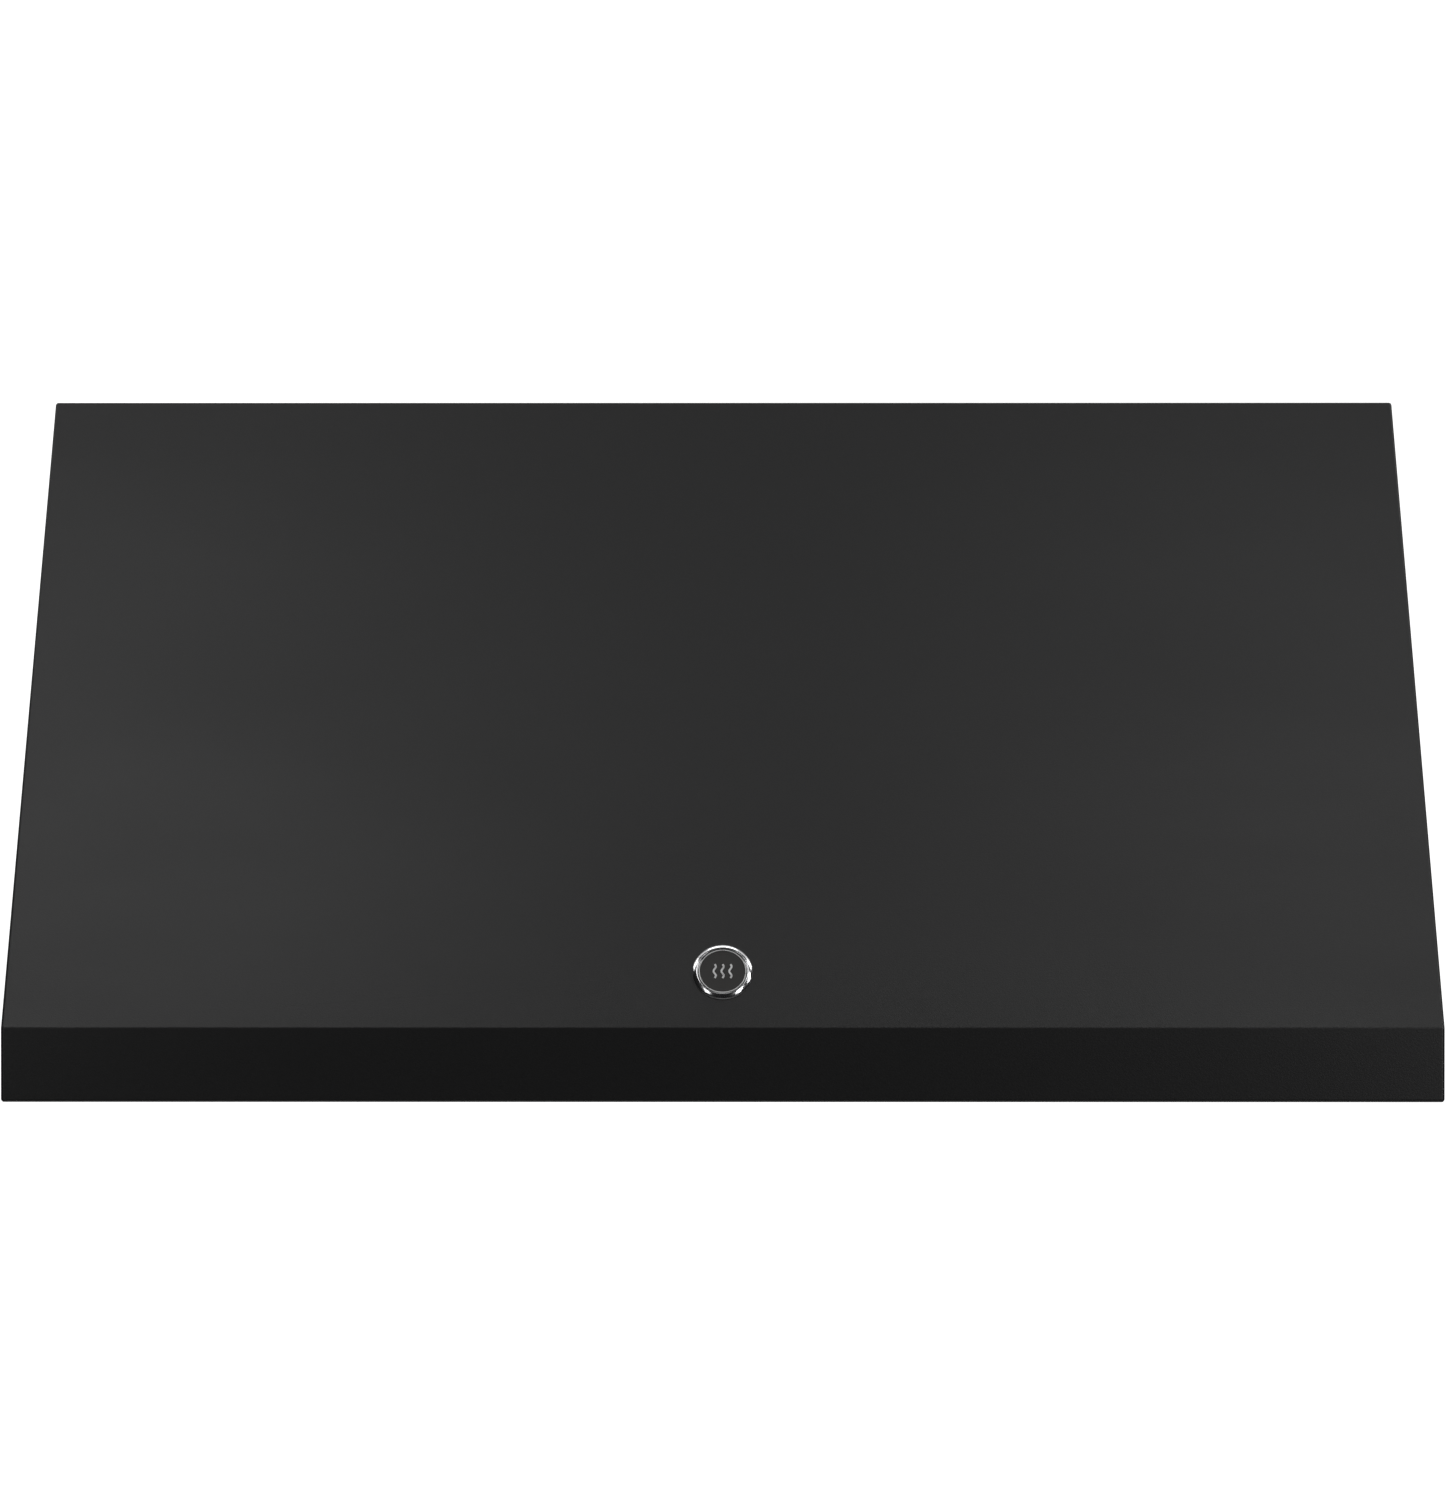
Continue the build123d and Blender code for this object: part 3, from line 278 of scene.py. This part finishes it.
def make_materials():
    """One material for each of the record's slots."""
    return {
        "slate_coat": slate_coat(),
        "stainless": brushed_steel("stainless", "x"),
        "galvanised": galvanised(),
        "bright_chrome": polished("bright_chrome", (0.82, 0.82, 0.83), 0.15),
        "badge_black": moulded("badge_black", (0.03, 0.028, 0.026), 0.42, 900.0, 0.05),
        "badge_silver": polished("badge_silver", (0.74, 0.74, 0.74), 0.36),
        "control_black": moulded("control_black", (0.018, 0.018, 0.019), 0.46, 1300.0, 0.15),
        "button_grey": moulded("button_grey", (0.085, 0.085, 0.09), 0.42, 1600.0, 0.1),
        "lens_frost": frosted_lens(),
        "lamp_aluminium": cast_metal("lamp_aluminium", (0.62, 0.63, 0.64), 0.42, 700.0),
        "board_green": circuit_board(),
        "motor_enamel": moulded("motor_enamel", (0.026, 0.026, 0.028), 0.34, 500.0, 0.12, coat=0.4),
        "grommet_rubber": moulded("grommet_rubber", (0.022, 0.022, 0.022), 0.72, 900.0, 0.2),
        "can_aluminium": cast_metal("can_aluminium", (0.68, 0.69, 0.7), 0.3, 260.0),
        "flap_aluminium": brushed_steel("flap_aluminium", "x", (0.62, 0.63, 0.64), 0.38),
        "cable_jacket": moulded("cable_jacket", (0.05, 0.05, 0.053), 0.5, 1100.0, 0.12),
        "driver_white": moulded("driver_white", (0.68, 0.68, 0.66), 0.4, 1200.0, 0.08),
        "screw_zinc": polished("screw_zinc", (0.6, 0.61, 0.63), 0.28),
    }


def dress(materials):
    """Gives every CAD node the material of its slot."""
    for name, node in NODES.items():
        node.data.materials.clear()
        node.data.materials.append(materials[SLOT_OF[name]])


# Shapes for the small pieces: points in millimetres, faces, and a matrix that puts them in place.


def turned(profile, angles):
    """Points and faces of a profile swept about Z.

    Each row of the profile is (radius, height). A radius may be a list with one number for each angle,
    and a radius of 0 closes an end.
    """
    points, rows, faces = [], [], []
    for radius, height in profile:
        if radius == 0:
            rows.append([len(points)])
            points.append((0, 0, height))
            continue
        radii = radius if isinstance(radius, list) else [radius] * len(angles)
        rows.append(list(range(len(points), len(points) + len(angles))))
        points += [(r * math.cos(turn), r * math.sin(turn), height) for r, turn in zip(radii, angles)]
    for low, high in zip(rows, rows[1:]):
        for i in range(len(angles)):
            j = i + 1
            around = (low[i % len(low)], low[j % len(low)], high[j % len(high)], high[i % len(high)])
            faces.append(tuple(dict.fromkeys(around)))
    return points, faces


def even(count):
    """This many equal steps round a circle."""
    return [math.tau * i / count for i in range(count)]


def prism(outline, depth):
    """Points and faces of a flat outline raised along Z by depth."""
    count = len(outline)
    points = [(x, y, z) for z in (0, depth) for x, y in outline]
    faces = [tuple(range(count)), tuple(range(2 * count - 1, count - 1, -1))]
    for i in range(count):
        j = (i + 1) % count
        faces.append((i, j, j + count, i + count))
    return points, faces


def oblong(length, width):
    """Outline of a bar with round ends, its length along X."""
    radius = width / 2
    outline = []
    for end, start in ((1, -90), (-1, 90)):
        for step in range(7):
            turn = math.radians(start + 30 * step)
            outline.append((end * (length / 2 - radius) + radius * math.cos(turn), radius * math.sin(turn)))
    return outline


def rectangle(width, height):
    """Outline of a rectangle about the origin."""
    x, y = width / 2, height / 2
    return [(-x, -y), (x, -y), (x, y), (-x, y)]


def hoop(inner, outer, depth, count=32):
    """Points and faces of a flat ring of this depth."""
    profile = [(inner, 0), (outer, 0), (outer, depth), (inner, depth), (inner, 0)]
    return turned(profile, even(count))


def facing(place, direction, turn=0.0):
    """Matrix that puts a shape at a place in millimetres, Z along direction, turned in degrees."""
    stand = Vector(direction).to_track_quat("Z", "Y").to_matrix().to_4x4()
    return Matrix.Translation(Vector(place) * MM) @ stand @ Matrix.Rotation(math.radians(turn), 4, "Z")


def piece(name, shapes, body, slot, material=None, soften=0.0):
    """One object made of (shape, matrix) pairs that rides on a body and takes the finish of a slot."""
    work = bmesh.new()
    for (points, faces), matrix in shapes:
        corners = [work.verts.new(matrix @ (Vector(point) * MM)) for point in points]
        for face in faces:
            work.faces.new([corners[i] for i in face])
    bmesh.ops.remove_doubles(work, verts=work.verts, dist=1e-7)
    bmesh.ops.recalc_face_normals(work, faces=work.faces)
    mesh = bpy.data.meshes.new(name)
    work.to_mesh(mesh)
    work.free()
    mesh.polygons.foreach_set("use_smooth", [True] * len(mesh.polygons))
    mesh.materials.append(material or materials[slot])
    made = bpy.data.objects.new(name, mesh)
    bpy.context.scene.collection.objects.link(made)
    if soften:
        rounding = made.modifiers.new("soften", "BEVEL")
        rounding.width = soften * MM
        rounding.segments = 2
        rounding.angle_limit = math.radians(40)
    creases = made.modifiers.new("creases", "EDGE_SPLIT")
    creases.split_angle = math.radians(35)
    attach(made, body)
    return made


def lead(name, points, radius, body, slot):
    """Thin wire along a smooth line through these points in millimetres."""
    data = bpy.data.curves.new(name, "CURVE")
    data.dimensions = "3D"
    data.bevel_depth = radius * MM
    data.bevel_resolution = 3
    data.use_fill_caps = True
    line = data.splines.new("NURBS")
    line.points.add(len(points) - 1)
    for point, place in zip(line.points, points):
        point.co = (*(Vector(place) * MM), 1.0)
    line.order_u = 4
    line.use_endpoint_u = True
    line.resolution_u = 8
    data.materials.append(materials[slot])
    made = bpy.data.objects.new(name, data)
    bpy.context.scene.collection.objects.link(made)
    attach(made, body)


# Fasteners.

RIVET = [(2.2, 0), (2.1, 0.4), (1.6, 0.8), (0.8, 1.0), (0, 1.05)]
HEX_BOLT = [(2.6, 0), (2.6, 1.7), (2.2, 2.0), (0, 2.0)]
FLAT_RIM = [(2.9, 0.0), (3.15, -0.1), (1.5, -1.2), (0, -1.2)]
PAN_RIM = [(1.9, 1.75), (2.7, 1.2), (3.1, 0.4), (3.15, 0.02), (0, 0.02)]
PUSH_NUT = [(1.6, 0.4), (1.9, 0.9), (2.6, 0.35), (3.9, 0.0), (3.9, 0.3), (2.6, 0.7), (1.7, 1.3), (1.6, 0.4)]


def rivets(name, places, direction, slot="screw_zinc", body="hood"):
    """Domed rivet heads at these places, standing along one direction."""
    shape = turned(RIVET, even(16))
    piece(name, [(shape, facing(place, direction)) for place in places], body, slot)


def cross_recess(arm, half):
    """Angles round a cross-shaped recess, and the radius of its edge at each of them."""
    between = (arm + half) / 2
    quarter = ((arm, -half), (arm, 0), (arm, half), (between, half), (half, half), (half, between))
    outline = []
    for turn in range(4):
        for x, y in quarter:
            for _ in range(turn):
                x, y = -y, x
            outline.append((math.atan2(y, x) % math.tau, math.hypot(x, y)))
    outline.sort()
    return [turn for turn, radius in outline], [radius for turn, radius in outline]


def screw_head(rim):
    """Head with a cross-shaped recess; rim is the profile outside the recess, from its flat top down."""
    angles, edge = cross_recess(1.75, 0.42)
    floor = [0.7 * radius for radius in edge]
    return turned([(0, -1.0), (floor, -0.9), (edge, rim[0][1]), *rim], angles)


def screws(name, places, direction, rim, body="hood", slot="screw_zinc"):
    """Screw heads with a cross recess, each turned a different way."""
    shape = screw_head(rim)
    shapes = [(shape, facing(place, direction, 37 * i)) for i, place in enumerate(places)]
    return piece(name, shapes, body, slot)


def shank(length):
    """Threaded shank pointing down from the head, its thread as rings."""
    profile = [(0, 0)]
    for i in range(int(length / 0.8)):
        profile += [(1.2, -0.8 * i), (1.58, -0.8 * i - 0.4)]
    profile += [(1.1, -length), (0, -length - 0.6)]
    return turned(profile, even(16))


def make_fasteners():
    """Panel screws, junction box screws and badge nuts, shaped as real ones, in place of the plain ones."""
    shapes = []
    for i, x in enumerate((-420, -235, -110, 110, 235, 420)):
        place = facing((x, -550, 0.03), (0, 0, -1), 40 * i)
        shapes.append((screw_head(FLAT_RIM), place))
        shapes.append((shank(8.4), facing((x, -550, 1.2), (0, 0, -1))))
    for y in (-114, -26):
        place = facing((310, y, 400.8), (0, 0, -1), y)
        shapes.append((screw_head(PAN_RIM), place))
        shapes.append((shank(4.6), facing((310, y, 400.9), (0, 0, -1))))
    low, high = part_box("badge_disc")
    middle = (low + high) / 2
    inward = Vector((0.0, math.sin(SLOPE), -math.cos(SLOPE)))
    for x in (-9, 9):
        seat = Vector((x * MM, middle.y, middle.z)) + inward * PUSH_NUT_DEPTH * MM
        shapes.append((turned(PUSH_NUT, even(18)), facing(seat / MM, inward)))
    fasteners = piece("fastener_heads", shapes, "hood", "screw_zinc")
    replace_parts(fasteners, "small_fasteners")


# Details of the front.


def wave_outline(middle, height, swing, width):
    """Outline of a stroke that waves three times from bottom to top."""
    left, right = [], []
    for i in range(37):
        share = i / 36
        y = height * (share - 0.5)
        x = middle + swing * math.sin(3 * math.pi * share)
        lean = math.atan(3 * math.pi * swing / height * math.cos(3 * math.pi * share))
        across = Vector((math.cos(lean), -math.sin(lean))) * width / 2
        left.append((x - across.x, y - across.y))
        right.append((x + across.x, y + across.y))
    return right + left[::-1]


def badge():
    """Bezel, disc and emblem with fine outlines, in place of the coarser CAD ones."""
    up = Vector((0.0, math.cos(SLOPE), math.sin(SLOPE)))
    outward = Vector((0.0, -math.sin(SLOPE), math.cos(SLOPE)))
    place = facing(Vector((0, -559, 47)) + BADGE_UP_SLOPE * up, outward)
    band = [(19.2, 0.4), (19.12, 0.75), (18.9, 1.02), (17.8, 1.75), (16.7, 2.38), (16.4, 2.5), (16.15, 2.5)]
    edge = [(15.95, 2.4), (15.8, 2.1), (15.8, 0.6), (0, 0.6)]
    shapes = [(turned([(0, 0), (19.2, 0), *band, *edge], even(96)), place)]
    stud = turned([(0, -9), (1.5, -9), (1.5, 0.3), (0, 0.3)], even(20))
    shapes += [(stud, place @ Matrix.Translation((x * MM, 0, 0))) for x in (-9, 9)]
    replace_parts(piece("badge_ring", shapes, "hood", "bright_chrome"), "badge_bezel")
    face = turned([(0, 0.6), (15.4, 0.6), (15.4, 1.5), (15.3, 1.6), (0, 1.6)], even(96))
    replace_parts(piece("badge_face", [(face, place)], "hood", "badge_black"), "badge_disc")
    rim = turned([(14.5, 1.6), (14.5, 1.9), (14.6, 2.0), (15.1, 2.0), (15.2, 1.9), (15.2, 1.6)], even(96))
    low = place @ Matrix.Translation((0, 0, 1.6 * MM))
    strokes = [(prism(wave_outline(x, 9.6, 0.75, 1.2), 0.4), low) for x in (-5, 0, 5)]
    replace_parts(piece("badge_steam", [(rim, place), *strokes], "hood", "badge_silver"), "badge_emblem")


# Details of the underside.

CAP = [
    (0, 0.3),
    (4.5, 0.24),
    (7.2, 0.12),
    (8.2, 0.1),
    (8.55, 0.2),
    (8.7, 0.5),
    (8.7, 2.7),
    (10.5, 2.7),
    (10.5, 3.9),
    (0, 3.9),
]
BOWL = [
    (29.5, 5.0),
    (26, 9.5),
    (21, 14.5),
    (15, 18.6),
    (14.4, 18.9),
    (20.4, 15.2),
    (25.4, 10.0),
    (29.0, 5.0),
    (29.5, 5.0),
]
LIGHT_PLATE = [(0, 18.9), (14.0, 18.9), (14.0, 21.9), (0, 21.9)]
LIGHT_DOME = [(0, 16.4), (2.5, 16.8), (4.6, 18.0), (5.0, 18.9), (0, 18.9)]


def push_caps():
    """Push caps with fine outlines and a shallow dish, in place of the coarser CAD ones."""
    for name in ("lamp", "stop", "slow", "medium", "fast"):
        low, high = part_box(f"{name}_button")
        middle = (low + high) / 2 / MM
        cap = [(turned(CAP, even(56)), facing((middle.x, middle.y, 0), (0, 0, 1)))]
        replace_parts(piece(f"{name}_cap", cap, f"{name}_button_cap", "button_grey"), f"{name}_button")


def button_icons():
    """Generic printed symbols on the push caps: a lamp, a stop ring, and one to three bars."""
    stroke = prism(oblong(5.6, 0.9), PRINT)
    short = prism(oblong(3.4, 0.9), PRINT)
    ring = hoop(3.0, 3.9, PRINT, 28)
    drawings = {
        "lamp": [(hoop(2.1, 2.9, PRINT, 24), 0, 1.0, 0), (short, 0, -2.9, 0), (short, 0, -4.3, 0)],
        "stop": [(ring, 0, 0, 0), (short, 0, 2.6, 90)],
        "slow": [(stroke, 0, -2.2, 0)],
        "medium": [(stroke, 0, -2.2, 0), (stroke, 0, 0, 0)],
        "fast": [(stroke, 0, -2.2, 0), (stroke, 0, 0, 0), (stroke, 0, 2.2, 0)],
    }
    for name, marks in drawings.items():
        low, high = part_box(f"{name}_button")
        middle = (low + high) / 2 / MM
        shapes = []
        for shape, x, y, turn in marks:
            place = (middle.x + x, middle.y + y, low.z / MM + 0.2)
            shapes.append((shape, facing(place, (0, 0, -1), turn)))
        piece(f"{name}_icon", shapes, f"{name}_button_cap", "button_grey", print_white)


def lamp_insides():
    """Reflector bowl and light module above each lens."""
    for side in ("left", "right"):
        low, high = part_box(f"{side}_lamp_lens")
        middle = (low + high) / 2 / MM
        place = facing((middle.x, middle.y, 0), (0, 0, 1))
        bowl = [(turned(BOWL, even(40)), place)]
        piece(f"{side}_reflector", bowl, "hood", "lamp_aluminium", reflector_finish)
        plate = [(turned(LIGHT_PLATE, even(32)), place)]
        piece(f"{side}_light_plate", plate, "hood", "driver_white", soften=0.3)
        dome = [(turned(LIGHT_DOME, even(20)), place)]
        piece(f"{side}_light_dome", dome, "hood", "driver_white", phosphor)


def filter_details():
    """Corner rivets on each filter frame and a grip on its handle."""
    grip = turned([(0, -21), (2.4, -21), (2.8, -20), (2.8, 20), (2.4, 21), (0, 21)], even(20))
    for side in ("left", "centre", "right"):
        low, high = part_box(f"{side}_filter_frame")
        middle_x = (low.x + high.x) / 2 / MM
        places = []
        for x in (-135.5, 135.5):
            places += [(middle_x + x, y, 53) for y in (-430, -64)]
        for x in (-47, 47):
            places.append((middle_x + x, -431, 53))
        rivets(f"{side}_filter_rivets", places, (0, 0, -1), "stainless", f"{side}_filter")
        low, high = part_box(f"{side}_filter_bail")
        bar = ((low.x + high.x) / 2 / MM, -427, low.z / MM + 2)
        piece(f"{side}_bail_grip", [(grip, facing(bar, (1, 0, 0)))], f"{side}_bail", "control_black")


def control_board_parts():
    """Relays, capacitors and connectors on the upper side of the control board."""
    relay = prism(rectangle(15, 11), 11)
    shapes = [(relay, facing((x, -485.5, 10.8), (0, 0, 1))) for x in (-52, -22, 8, 38)]
    piece("board_relays", shapes, "hood", "control_black", soften=0.5)
    can = turned([(2.6, 0), (2.6, 7.6), (2.2, 8.0), (0, 8.0)], even(18))
    shapes = [(can, facing((x, -516, 10.8), (0, 0, 1))) for x in (-40, -32, 44)]
    piece("board_capacitors", shapes, "hood", "can_aluminium")
    block = prism(rectangle(9, 6), 6)
    shapes = [(block, facing((x, y, 10.8), (0, 0, 1))) for x, y in ((-62, -487), (66, -508), (66, -492))]
    piece("board_connectors", shapes, "hood", "driver_white", soften=0.4)


def cable_bushes():
    """Rubber bushes where cables pass through sheet metal or plastic."""
    bush = hoop(3.05, 5.2, 1.6, 24)
    holes = [
        ((89, -492, 20), (1, 0, 0)),
        ((89, -508, 20), (1, 0, 0)),
        ((-89, -492, 20), (-1, 0, 0)),
        ((250, -70, 425), (-1, 0, 0)),
        ((310, -120, 425), (0, -1, 0)),
        ((330, -70, 400.8), (0, 0, -1)),
        ((330, -32, 350), (0, -1, 0)),
    ]
    shapes = [(bush, facing(place, way)) for place, way in holes]
    piece("cable_bushes", shapes, "hood", "grommet_rubber", soften=0.4)


# Details of the blower, duct and wiring.


def on_scroll(radius, angle, x):
    """Place at this radius and angle in degrees round the fan's shaft."""
    turn = math.radians(angle)
    return (x, FAN_Y + radius * math.cos(turn), FAN_Z + radius * math.sin(turn))


def scroll_tabs(side, sign):
    """Lock tabs on one plate of the scroll, along the three arcs that its edge is made of."""
    tab = prism([(0, -2.2), (sign * 0.9, -2.0), (sign * 0.9, 2.0), (0, 2.2)], 8)
    centred = Matrix.Translation((0, 0, -4 * MM))
    tabs = []
    for angle in range(70, 350, 14):
        arc = 0 if angle < 180 else 1 if angle < 270 else 2
        radius = 108 + 14 * arc + 1.2
        turn = math.radians(angle)
        y = FAN_Y + (-7, 7, 7)[arc] + radius * math.cos(turn)
        z = FAN_Z + (-7, -7, 7)[arc] + radius * math.sin(turn)
        stand = Matrix.Translation(Vector((sign * 90, y, z)) * MM) @ Matrix.Rotation(turn, 4, "X")
        tabs.append((tab, stand @ centred))
    piece(f"{side}_scroll_tabs", tabs, "hood", "galvanised")


def blower_rivets():
    """Rivets of the inlet rings, hangers and duct flanges."""
    for side, sign in (("left", -1), ("right", 1)):
        places = [on_scroll(87.3, 8 + 45 * i, sign * 92) for i in range(8)]
        rivets(f"{side}_inlet_rivets", places, (sign, 0, 0))
        places = [(sign * 91.5, -128, z) for z in (190, 212)]
        rivets(f"{side}_hanger_rivets", places, (sign, 0, 0))
        scroll_tabs(side, sign)
    rivets("hanger_feet", [(s * 105, -2.7, z) for s in (-1, 1) for z in (190, 212)], (0, -1, 0))
    flange = [(s * 96.5, y, 336.2) for s in (-1, 1) for y in (-205, -160, -115)]
    rivets("transition_rivets", flange, (0, 0, 1))
    around = [math.radians(22.5 + 45 * i) for i in range(8)]
    rim = [(106.5 * math.cos(turn), -160 + 106.5 * math.sin(turn), 367.2) for turn in around]
    rivets("barrel_rivets", rim, (0, 0, 1))
    rim = [(110 * math.cos(turn), -160 + 110 * math.sin(turn), 454.6) for turn in around]
    rivets("collar_rivets", rim, (0, 0, -1))


def motor_details():
    """Ribs along the motor can, its through bolts, and the band's clamp."""
    rib = prism(oblong(26, 2.2), 1.0)
    shapes = []
    for i in range(18):
        seat = Matrix.Translation(Vector(on_scroll(44.7, 20 * i, 45)) * MM)
        lean = Matrix.Rotation(math.radians(20 * i) - math.pi / 2, 4, "X")
        shapes.append((rib, seat @ lean))
    piece("motor_ribs", shapes, "hood", "motor_enamel", soften=0.4)
    bolt = turned(HEX_BOLT, even(6))
    shapes = [(bolt, facing(on_scroll(31, 45 + 90 * i, 20), (-1, 0, 0))) for i in range(4)]
    piece("motor_bolts", shapes, "hood", "screw_zinc")
    clamp = prism(rectangle(9, 8), 5)
    low = facing(on_scroll(46, 0, 70), (0, 1, 0))
    piece("motor_band_clamp", [(clamp, low)], "hood", "screw_zinc", soften=0.5)


def capacitor_details():
    """Terminals on the run capacitor and its leads to the motor."""
    blade = prism(rectangle(6.3, 0.8), 7)
    shapes = [(blade, facing((106, y, 305), (0, 0, 1))) for y in (-137, -125)]
    piece("capacitor_terminals", shapes, "hood", "screw_zinc")
    sleeve = prism(oblong(8.4, 3.2), 7)
    shapes = [(sleeve, facing((106, y, 309), (0, 0, 1))) for y in (-137, -125)]
    piece("terminal_sleeves", shapes, "hood", "control_black", soften=0.6)
    for i, y in enumerate((-137, -125)):
        points = [
            (106, y, 316),
            (106, y, 326),
            (120, y - 8, 322 - 4 * i),
            (124, -170, 290 - 5 * i),
            (118, -222, 252 - 6 * i),
            (110, -240, 238 - 6 * i),
            (103.4, -243, 230 - 6 * i),
        ]
        lead(f"capacitor_lead_{i + 1}", points, 1.1, "hood", "cable_jacket")


def damper_beads():
    """Stiffening beads pressed into the damper flaps."""
    bead = prism(oblong(110, 3.2), 0.45)
    short = prism(oblong(62, 3.2), 0.45)
    for name, sign in (("front", -1), ("rear", 1)):
        shapes = [
            (bead, facing((0, -160 + sign * 30, 388.4), (0, 0, 1))),
            (short, facing((0, -160 + sign * 60, 388.4), (0, 0, 1))),
        ]
        piece(f"{name}_damper_beads", shapes, f"{name}_damper", "flap_aluminium", soften=0.2)


def wall_side_rivets():
    """Rivets of the rear rail, the side ledges, the junction box and the lamp supply."""
    rivets("rail_rivets", [(x, -2.4, 42) for x in range(-400, 401, 100)], (0, -1, 0))
    low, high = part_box("filter_ledges")
    for side, x, way in (("left", low.x / MM + 1.2, 1), ("right", high.x / MM - 1.2, -1)):
        rivets(f"{side}_ledge_rivets", [(x, y, 84) for y in range(-400, -49, 70)], (way, 0, 0))
    rivets("box_ear_rivets", [(x, y, 454.8) for x in (244, 376) for y in (-100, -40)], (0, 0, -1))
    screws("supply_screws", [(253.5, -2.7, 350), (366.5, -2.7, 350)], (0, -1, 0), PAN_RIM)


def supply_details():
    """Terminal block under the lamp supply, and blank foil plates without any print."""
    block = prism(rectangle(26, 12), 8)
    shapes = [(block, facing((292, -16, 330), (0, 0, -1)))]
    piece("supply_terminals", shapes, "hood", "board_green", soften=0.5)
    plate = prism(rectangle(54, 24), 0.15)
    piece("supply_plate", [(plate, facing((300, -32, 350), (0, -1, 0)))], "hood", "can_aluminium")
    plate = prism(rectangle(80, 40), 0.15)
    low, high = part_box("left_side_panel")
    inner = (low.x / MM + 1.2, -300, 130)
    piece("rating_plate", [(plate, facing(inner, (1, 0, 0)))], "hood", "can_aluminium")


def make_details():
    """Every small piece."""
    make_fasteners()
    badge()
    push_caps()
    button_icons()
    lamp_insides()
    filter_details()
    control_board_parts()
    cable_bushes()
    blower_rivets()
    motor_details()
    capacitor_details()
    damper_beads()
    wall_side_rivets()
    supply_details()


# Studio.


def make_world():
    """White behind the object, and a low even light on it."""
    world = bpy.data.worlds.new("studio")
    bpy.context.scene.world = world
    world.use_nodes = True
    tree = world.node_tree
    shown = tree.nodes["Background"]
    shown.inputs["Color"].default_value = (1, 1, 1, 1)
    shown.inputs["Strength"].default_value = BACKGROUND
    lit = tree.nodes.new("ShaderNodeBackground")
    lit.inputs["Color"].default_value = (1, 1, 1, 1)
    lit.inputs["Strength"].default_value = AMBIENT
    rays = tree.nodes.new("ShaderNodeLightPath")
    mix = tree.nodes.new("ShaderNodeMixShader")
    tree.links.new(rays.outputs["Is Camera Ray"], mix.inputs[0])
    tree.links.new(lit.outputs[0], mix.inputs[1])
    tree.links.new(shown.outputs[0], mix.inputs[2])
    tree.links.new(mix.outputs[0], tree.nodes["World Output"].inputs["Surface"])


def softbox(name, place, target, width, height, power):
    """A soft rectangular lamp at place that faces target."""
    data = bpy.data.lights.new(name, "AREA")
    data.shape = "RECTANGLE"
    data.size = width
    data.size_y = height
    data.energy = power
    lamp = bpy.data.objects.new(name, data)
    bpy.context.scene.collection.objects.link(lamp)
    lamp.location = place
    lamp.rotation_euler = (Vector(target) - Vector(place)).to_track_quat("-Z", "Y").to_euler()
    lamp.visible_camera = False
    return lamp


def make_lights():
    """Soft boxes on a dome round the hood, then behind, above and below it, and a wide one for gloss."""
    middle = Vector((0.0, -0.3, 0.25))
    for name, azimuth, elevation, width, power in DOME:
        turn, rise = math.radians(azimuth), math.radians(elevation)
        level = math.cos(rise)
        away = Vector((math.sin(turn) * level, -math.cos(turn) * level, math.sin(rise)))
        softbox(name, middle + DOME_RADIUS * away, middle, width, SOFTBOX, power)
    softbox("behind", (0.0, 2.4, 0.7), middle, 2.0, 1.2, 26.0)
    softbox("above", (0.0, 0.7, 2.5), (0.0, 0.0, 0.4), 1.8, 0.9, 9.0)
    canopy = softbox("canopy", (0.0, 1.1, 2.3), (0.0, -0.5, 0.1), 5.2, 2.4, 30.0)
    canopy.visible_diffuse = False
    softbox("below", (0.0, 0.15, FLOOR_Z + 0.15), (0.0, -0.1, 0.0), 1.6, 0.9, 7.5)


def make_floor():
    """Pale floor whose lower side is clear."""
    half = FLOOR_SIZE / 2
    mesh = bpy.data.meshes.new("floor")
    corners = [(x * half, y * half, FLOOR_Z) for x, y in ((-1, -1), (1, -1), (1, 1), (-1, 1))]
    mesh.from_pydata(corners, [], [(0, 1, 2, 3)])
    floor = bpy.data.objects.new("floor", mesh)
    bpy.context.scene.collection.objects.link(floor)
    made, shader = new_material("floor", Base_Color=(0.6, 0.6, 0.6), Roughness=0.6)
    side = add(shader, "ShaderNodeNewGeometry")
    clear = add(shader, "ShaderNodeBsdfTransparent")
    links = {0: side.outputs["Backfacing"], 1: shader.outputs[0], 2: clear.outputs[0]}
    mix = add(shader, "ShaderNodeMixShader", links)
    tree = made.node_tree
    tree.links.new(mix.outputs[0], tree.nodes["Material Output"].inputs["Surface"])
    mesh.materials.append(made)


def make_camera():
    """The camera, straight on and a little above the bottom edge, with a long lens."""
    data = bpy.data.cameras.new("camera")
    data.lens = CAMERA_LENS
    data.sensor_width = SENSOR
    camera = bpy.data.objects.new("camera", data)
    bpy.context.scene.collection.objects.link(camera)
    camera.location = CAMERA_PLACE
    tilt = math.radians(90 + CAMERA_PITCH)
    camera.rotation_euler = Euler((tilt, 0, math.radians(CAMERA_TURN)))
    bpy.context.scene.camera = camera


bpy.context.scene.view_settings.view_transform = "Standard"
materials = make_materials()
print_white = moulded("print_white", (0.62, 0.62, 0.6), 0.5, 1200.0, 0.05)
reflector_finish = polished("reflector", (0.86, 0.86, 0.86), 0.12)
phosphor = moulded("phosphor", (0.85, 0.62, 0.12), 0.3, 900.0, 0.02)
dress(materials)
make_details()
make_world()
make_lights()
make_floor()
make_camera()
